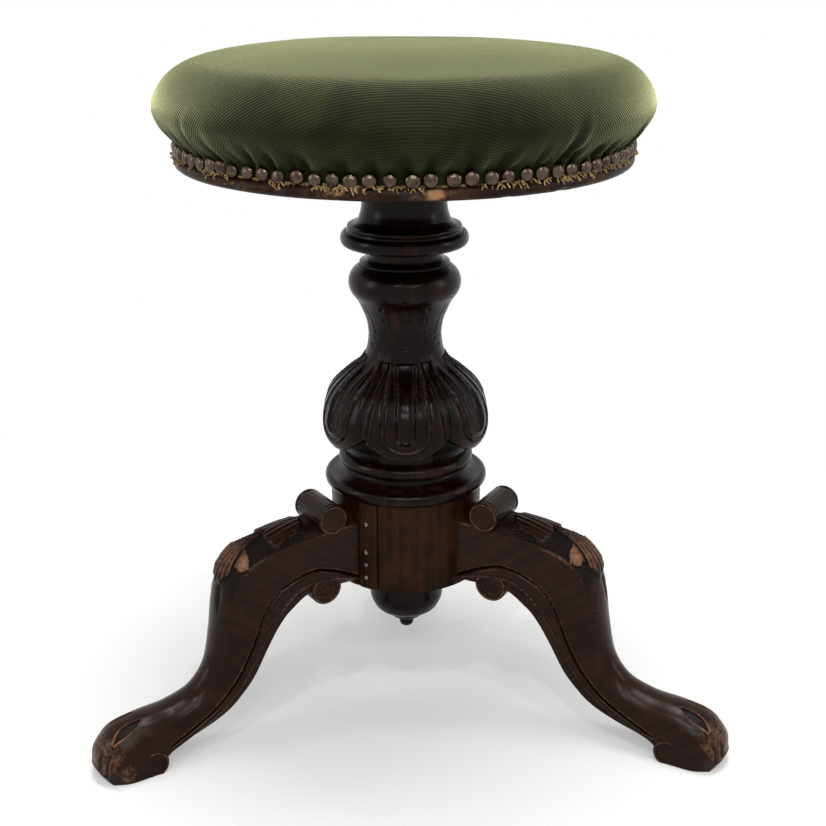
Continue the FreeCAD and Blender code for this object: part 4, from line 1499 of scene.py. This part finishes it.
        # eye-shaped gouge and the cleft between the toes
        along = (run - 270.5) / 14.0
        lens = 1 - along ** 2
        middle = 9.2 + (run - 270.5) * 0.185
        within = 3.1 * np.clip(lens, 0, 1) - np.abs(side - middle)
        eye = ramp(within, -0.2, 0.5) * (lens > 0)
        rim = bump(within, -0.5, 0.6) * (lens > 0)
        cleft = bump(side - 14.6, 0.0, 1.1) * ramp(run, 286.0, 292.0)
        lower_eye = ramp(2.4 * np.clip(1 - ((run - 303.0) / 10.0) ** 2, 0, 1) - np.abs(side - 8.0), -0.2, 0.5)
        carved = 1.4 * leaf * (0.5 + 0.75 * pillow - 0.9 * slit) + curl * (0.75 + 0.85 * vein) - 1.2 * pit
        push = (bounds * carved
                - 1.1 * ground - 0.5 * slope + 0.3 * edge_line * bounds
                - 1.5 * husk - 0.9 * vee - 2.0 * eye + 0.3 * rim - 1.4 * cleft - 1.0 * lower_eye)
        lobe = bump(np.hypot((run - 100.0) / 1.3, side - 14.5), 0.0, 5.0)
        knee = bump(run, 106.0, 20.0)
        wear = (bounds * leaf * (0.16 + 0.40 * pillow * knee + 0.22 * lobe * pillow - 0.3 * slit)
                + bounds * 0.20 * curl * vein + 0.5 * rim + 0.42 * ramp(run, 262.0, 292.0)
                + 0.4 * edge_line * bounds)
        # Painted shade, with some dirt, in the punched ground, the leaf's troughs and slit, the curl's
        # hollows, the pit and every gouge and cleft.
        grime_and_shade = (0.85 * ground + 0.55 * slope + 0.9 * slit * leaf + 0.75 * leaf * (1 - pillow) ** 2
                 + 0.6 * curl * (1 - vein) + 0.9 * pit + 0.8 * husk + 0.9 * vee + 0.95 * eye
                 + 0.8 * cleft + 0.8 * lower_eye)
        return Relief(push, np.clip(wear, 0, 1.4), np.clip(grime_and_shade, 0, 1), ground * ramp(run, 108.0, 100.0))

    def mouldings(self, edge: Field, run: Field) -> Relief:
        """A side's mouldings: a thin fillet, a quirk, a half round and a lower arris with a bevel under it.

        Args:
            edge: The distance above the leg's lower line.
            run: The distance along the leg's upper line.

        Returns:
            The carving.
        """
        upper = np.interp(
            run,
            (0.0, 12.0, 24.0, 35.0, 55.0, 75.0, 93.0, 105.0, 113.0, 130.0, 157.0, 190.0, 212.0, 235.0, 252.0),
            (5.0, 10.0, 15.5, 18.4, 20.0, 21.2, 21.2, 19.8, 17.2, 14.6, 13.2, 10.8, 9.9, 9.4, 7.0))
        lower = np.interp(run, (0.0, 12.0, 24.0, 56.0, 80.0, 104.0, 133.0, 160.0, 192.0, 235.0, 252.0),
                          (1.0, 4.0, 7.0, 7.0, 3.8, 3.7, 3.6, 4.0, 2.4, 2.6, 1.0))
        here = ramp(run, 262.0, 252.0)
        fillet = bump(edge - upper, 0.0, 0.65)
        quirk = bump(edge - upper, -1.9, 0.8)
        band = np.clip((edge - lower) / np.maximum(upper - 2.4 - lower, 1.0), 0, 1)
        swell = np.sin(math.pi * band) ** 0.7 * (band > 0) * (band < 1)
        arris = bump(edge - lower, 0.0, 0.6)
        groove = bump(edge - lower, 1.5, 0.7)
        bevel = ramp(edge, lower - 0.4, lower - 5.0)
        push = (0.45 * fillet - 1.6 * quirk - 1.1 * ramp(edge, upper - 1.0, upper - 1.8) + 1.9 * swell
                + 1.1 * arris - 0.7 * groove - 1.2 * bevel) * here
        wear = (0.55 * fillet + 0.55 * arris + 0.15 * swell) * here
        # The quirk and the groove are darkened: painted shade.
        return Relief(push, wear, np.clip(0.95 * quirk + 0.5 * groove, 0, 1) * here)

    def body(self) -> Skin:
        """The leg's carved body.

        Returns:
            The skin, closed at both ends.
        """
        top, low, width, crown, run = self.lines()
        up = top - low
        depth = np.linalg.norm(up, axis=1)
        up /= depth[:, None]
        share = np.linspace(0.0, 1.0, self.side_columns, endpoint=False)
        arc = np.linspace(1.0, -1.0, self.top_columns, endpoint=False)
        sole = np.linspace(-1.0, 1.0, self.foot_columns, endpoint=False)
        wall = (depth - crown)[:, None]
        half = (width / 2)[:, None]
        radius = (half ** 2 + crown[:, None] ** 2) / (2 * crown[:, None])
        arch = np.sqrt(np.maximum(radius ** 2 - (arc * half) ** 2, 0)) - (radius - crown[:, None])
        lateral = np.concatenate([half + 0 * share, arc * half, -half + 0 * share, sole * half], axis=1)
        height = np.concatenate([wall * share, wall + arch, wall * (1 - share), 0 * sole * half], axis=1)
        rows = np.stack([low[:, :1] + up[:, :1] * height, lateral, low[:, 1:] + up[:, 1:] * height], axis=-1)
        rows = softened(rows.swapaxes(0, 1), 1.1, True).swapaxes(0, 1)
        n, m = self.side_columns, self.top_columns
        on_side = np.zeros(lateral.shape, bool)
        on_side[:, :n] = True
        on_side[:, n + m:2 * n + m] = True
        on_top = np.zeros(lateral.shape, bool)
        on_top[:, n:n + m] = True
        edge = np.where(on_side, height, 0.0)
        relief = self.mouldings(edge, run[:, None] + 0 * lateral)
        leaf = self.knee_leaf(run[:, None] + 0 * lateral, lateral)
        sole_push = 4.2 * ramp(run[:, None], 244.0, 200.0) * ramp(run[:, None], 24.0, 70.0)
        push = np.where(on_side, relief.push, np.where(on_top, leaf.push, sole_push))
        punch = np.where(on_top, leaf.punch, 0.0)
        wear = np.where(on_side, relief.wear, np.where(on_top, leaf.wear, 0.0))
        # The sole under the leg is darkened evenly: painted shade.
        grime_and_shade = np.where(on_side, relief.grime_and_shade, np.where(on_top, leaf.grime_and_shade, 0.3))
        out = normals_of(rows)
        rows = rows + out * push[..., None]
        column = np.arange(lateral.shape[1])
        arris = bump(column, n, 1.5) + bump(column, n + m, 1.5)
        wear = wear + (0.5 * arris[None, :] * ramp(lumps(rows, 16.0, self.side.value[2]), -0.6, 0.6)
                       * ramp(run[:, None], 136.0, 118.0))
        rubbed = ramp(lumps(rows, 12.0, self.side.value[2] + 9), -0.6, 0.9)
        wear = wear + 0.5 * rubbed * ramp(run[:, None], 262.0, 300.0) * (1 - on_top)
        caps = []
        inner_rings, toe_rings = 3, 6
        for i, ways in ((0, np.linspace(0.0, 1.0, inner_rings + 1)[:-1]),
                        (-1, np.linspace(1.0, 0.0, toe_rings + 1)[1:])):
            middle = rows[i].mean(axis=0)
            out_by = np.array([3.0, 0.0, 0.6]) if i else np.zeros(3)
            caps.append(np.stack([middle + (rows[i] - middle) * w + out_by * (1 - w ** 3) for w in ways]))
        rows = np.concatenate([caps[0], rows, caps[1]])
        wear, grime_and_shade, punch = (
            np.concatenate([mark[:1].repeat(inner_rings, 0), mark, mark[-1:].repeat(toe_rings, 0)])
            for mark in (wear, grime_and_shade, punch))
        rows[..., 2] = np.maximum(rows[..., 2], 0.0)
        return Skin(rows, wear, grime_and_shade, punch=punch)

    def cross_roll(self, middle: Point, width: float, reeds: int, turns: float) -> Skin:
        """A roll across the leg with a scrolled end on each side.

        Args:
            middle: Its reach, height and radius.
            width: Its length across the leg.
            reeds: How many reeds run along it.
            turns: The turns of the spiral cut in its ends.

        Returns:
            The skin.
        """
        reach, height, radius = middle
        half = width / 2
        line = sampled_outline([
            (0.0, -half), (radius * 0.80, -half), (radius * 0.84, -half - 0.7),
            (radius * 0.93, -half - 0.7), (radius, -half + 0.4, -0.3), (radius, -half + 2.6),
            (radius - 0.8, -half + 3.4), (radius, -half + 4.4), (radius, half - 4.4),
            (radius - 0.8, half - 3.4), (radius, half - 2.6), (radius, half - 0.4),
            (radius * 0.93, half + 0.7, -0.3), (radius * 0.84, half + 0.7), (radius * 0.80, half),
            (0.0, half),
        ], 0.45, False)
        line = softened(line, 0.5, False)
        line[[0, -1], 0] = 0.0
        line[:, 0] = np.maximum(line[:, 0], 0.0)
        turn = circle(120)
        ring, across = line[:, :1], line[:, 1:]
        inner = half - np.abs(across)
        on_wall = ramp(inner, 3.6, 4.6)
        slots = -0.45 * np.maximum(np.cos(turn * reeds / 2), 0.0) ** 24 * on_wall
        on_face = ramp(inner, 0.9, 0.1) * ramp(ring, radius * 0.78, radius * 0.66)
        track = (ring / radius - turn / (2 * math.pi) * 0.34 / max(turns, 0.1)) % 0.34 - 0.17
        spiral = bump(track, 0.0, 0.045) * on_face * (turns > 0) * ramp(ring, 1.0, 2.5)
        ring = np.maximum(ring + slots * (ring > 1), 0)
        rows = np.stack([reach + ring * np.cos(turn), across - np.sign(across) * 0.7 * spiral,
                         height + ring * np.sin(turn)], axis=-1)
        rows[..., 2] = np.maximum(rows[..., 2], 0.0)
        shape = rows.shape[:2]
        rim = bump(line[:, :1], radius * 0.88, radius * 0.06) * ramp(inner, 0.8, 0.0)
        wear = np.broadcast_to(0.55 * rim + 0.12 * on_wall, shape)
        # Painted shade in the end face's sunk ring, the spiral cut and the reeds' slots.
        grime_and_shade = np.clip(0.6 * bump(line[:, :1], radius * 0.79, radius * 0.03) * ramp(inner, 0.9, 0.1)
                        + 0.9 * spiral - 1.5 * slots, 0, 1)
        return Skin(rows, wear, grime_and_shade)

    def build(self) -> bpy.types.Object:
        """Makes the leg in its place.

        Returns:
            The leg.
        """
        name, azimuth, _ = self.side.value
        skins = [
            self.body(),
            self.cross_roll(self.roll, self.width + 1.0, 18, 0.0),
            self.cross_roll(self.scroll, self.width - 3.4, 16, 1.0),
            self.cross_roll(self.heel, self.width - 1.0, 14, 1.0),
        ]
        turn = np.array(Matrix.Rotation(math.radians(azimuth), 3, "Z"))
        tilt = np.array(Matrix.Rotation(math.radians(-55.0), 3, "Y"))
        for skin in skins:
            skin.grain = skin.rows @ tilt.T
            skin.rows = skin.rows @ turn.T
        return skin_object(name + "_carved", skins, 60.0)

    def dress(self, obj: bpy.types.Object) -> None:
        """Finishes the leg.

        Args:
            obj: The leg.
        """
        settle(obj, LEG_POLISH, "stand", "polished_wood", self.side.value[0])


class Ironwork:
    """The screw, its nut, washer, plate and fixings, which keep their CAD shapes."""

    nodes: dict[Metal, tuple[str, ...]] = {
        IRON: ("seat_screw", "column_nut", "guide_washer", "tail_nut", "tail_pin", "seat_plate"),
        STEEL: ("plate_screws", "neck_screws", "nut_screws", "patch_nails"),
    }

    def dress(self) -> None:
        """Gives each node its metal."""
        for finish, names in self.nodes.items():
            material = finish.material()
            for name in names:
                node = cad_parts[name]
                if not node.material_slots:
                    node.data.materials.append(material)
                for place in node.material_slots:
                    place.material = material
                log.info("%s: %s", name, finish.name)


# Studio


@dataclass
class Studio:
    """Camera, lamps and pale floor."""

    eye: Point = (-0.03115, -1.02383, 0.5958)
    heading: float = -1.7425
    pitch: float = 19.468
    roll: float = -0.30
    lens: float = 61.605
    shift: Point = (0.009165, -0.00177)
    floor_half: float = 14.0

    def build_camera(self) -> None:
        """Sets the camera at the photograph's place."""
        data = bpy.data.cameras.new("camera")
        data.lens, data.sensor_width = self.lens, 36.0
        data.shift_x, data.shift_y = self.shift
        data.clip_start, data.clip_end = 0.05, 60.0
        camera = linked("camera", data)
        camera.matrix_world = (Matrix.Translation(self.eye)
                               @ Matrix.Rotation(math.radians(self.heading), 4, "Z")
                               @ Matrix.Rotation(math.radians(90 - self.pitch), 4, "X")
                               @ Matrix.Rotation(math.radians(self.roll), 4, "Z"))
        bpy.context.scene.camera = camera

    def build_lamps(self) -> None:
        """Hangs the lamps: two small ones in front above, whose sparks show on every rounded arris, a wide
        strip in front, a large soft one overhead and a weak one at each side."""
        for name, place, aim, size, power in (
            ("spark_left", (-0.32, -1.25, 2.0), (0, 0, 0.4), (0.10, 0.10), 8.0),
            ("spark_right", (0.34, -1.25, 2.0), (0, 0, 0.4), (0.08, 0.08), 4.5),
            ("overhead", (0.1, 0.1, 2.3), (0, 0, 0.45), (1.2, 0.9), 54.0),
            ("front_strip", (0.1, -2.0, 1.75), (0, 0, 0.3), (1.9, 0.14), 19.0),
            ("left", (-2.0, -0.5, 1.0), (0, 0, 0.3), (0.45, 1.2), 9.0),
            ("right", (2.1, -0.4, 1.1), (0, 0, 0.3), (0.45, 1.2), 8.0),
        ):
            data = bpy.data.lights.new(name, "AREA")
            data.shape, data.energy = "RECTANGLE", power
            data.size, data.size_y = size
            lamp = linked(name, data)
            way = Vector(place) - Vector(aim)
            lamp.location = place
            lamp.rotation_mode = "QUATERNION"
            lamp.rotation_quaternion = way.to_track_quat("Z", "Y")

    def seen_directly(self, tree: Tree) -> Socket:
        """Tells the rays that show the backdrop itself: the camera's, mirrored and passed on.

        Args:
            tree: The tree that asks.

        Returns:
            A socket that is 1 for those rays.
        """
        path = add_node(tree, "ShaderNodeLightPath").outputs
        mirrored = calc(tree, "MAXIMUM", path["Is Camera Ray"], path["Is Glossy Ray"])
        return calc(tree, "MAXIMUM", mirrored, path["Is Transmission Ray"])

    def build_world(self) -> None:
        """Fills the room with even pale light, white where the camera sees it."""
        world = bpy.data.worlds.new("room")
        world.use_nodes = True
        tree = world.node_tree
        tree.nodes.clear()
        fill, seen = (
            add_node(tree, "ShaderNodeBackground", {"Color": WHITE, "Strength": strength}).outputs[0]
            for strength in (0.22, 1.0))
        both = add_node(tree, "ShaderNodeMixShader", {0: self.seen_directly(tree), 1: fill, 2: seen})
        add_node(tree, "ShaderNodeOutputWorld", {"Surface": both.outputs[0]})
        bpy.context.scene.world = world

    def build_floor(self) -> None:
        """Lays the floor, which is pale under the stool and fades to white away from it."""
        h = self.floor_half
        mesh = bpy.data.meshes.new("floor")
        mesh.from_pydata([(-h, -h, 0), (h, -h, 0), (h, h, 0), (-h, h, 0)], [], [(0, 1, 2, 3)])
        floor = linked("floor", mesh)
        material, tree, end = new_material("pale_floor")
        away = add_node(tree, "ShaderNodeVectorMath", {0: object_place(tree)}, operation="LENGTH")
        fade = remap(tree, away.outputs["Value"], (0.32, 0.75), (0.35, 1.0), True)
        seen = calc(tree, "MULTIPLY", fade, self.seen_directly(tree))
        matt = add_node(tree, "ShaderNodeBsdfDiffuse", {"Color": (0.8, 0.8, 0.79, 1.0)})
        white = add_node(tree, "ShaderNodeEmission", {"Color": WHITE, "Strength": 1.0})
        both = add_node(tree, "ShaderNodeMixShader", {0: seen, 1: matt.outputs[0], 2: white.outputs[0]})
        tree.links.new(both.outputs[0], end.inputs["Surface"])
        floor.data.materials.append(material)

    def build(self) -> None:
        """Makes the whole studio."""
        self.build_camera()
        self.build_lamps()
        self.build_world()
        self.build_floor()
        bpy.context.scene.view_settings.view_transform = "Standard"


def main() -> None:
    """Builds the stool over its CAD frame."""
    logging.basicConfig(level=logging.INFO, format="%(name)s %(message)s")
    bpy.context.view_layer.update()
    Studio().build()
    cushion = Cushion()
    cushion.dress(cushion.build())
    Hem().build()
    SeatFrame().build()
    Pillar().build()
    for side in LegSide:
        leg = CarvedLeg(side)
        leg.dress(leg.build())
    Ironwork().dress()


if __name__ == "__main__":
    main()
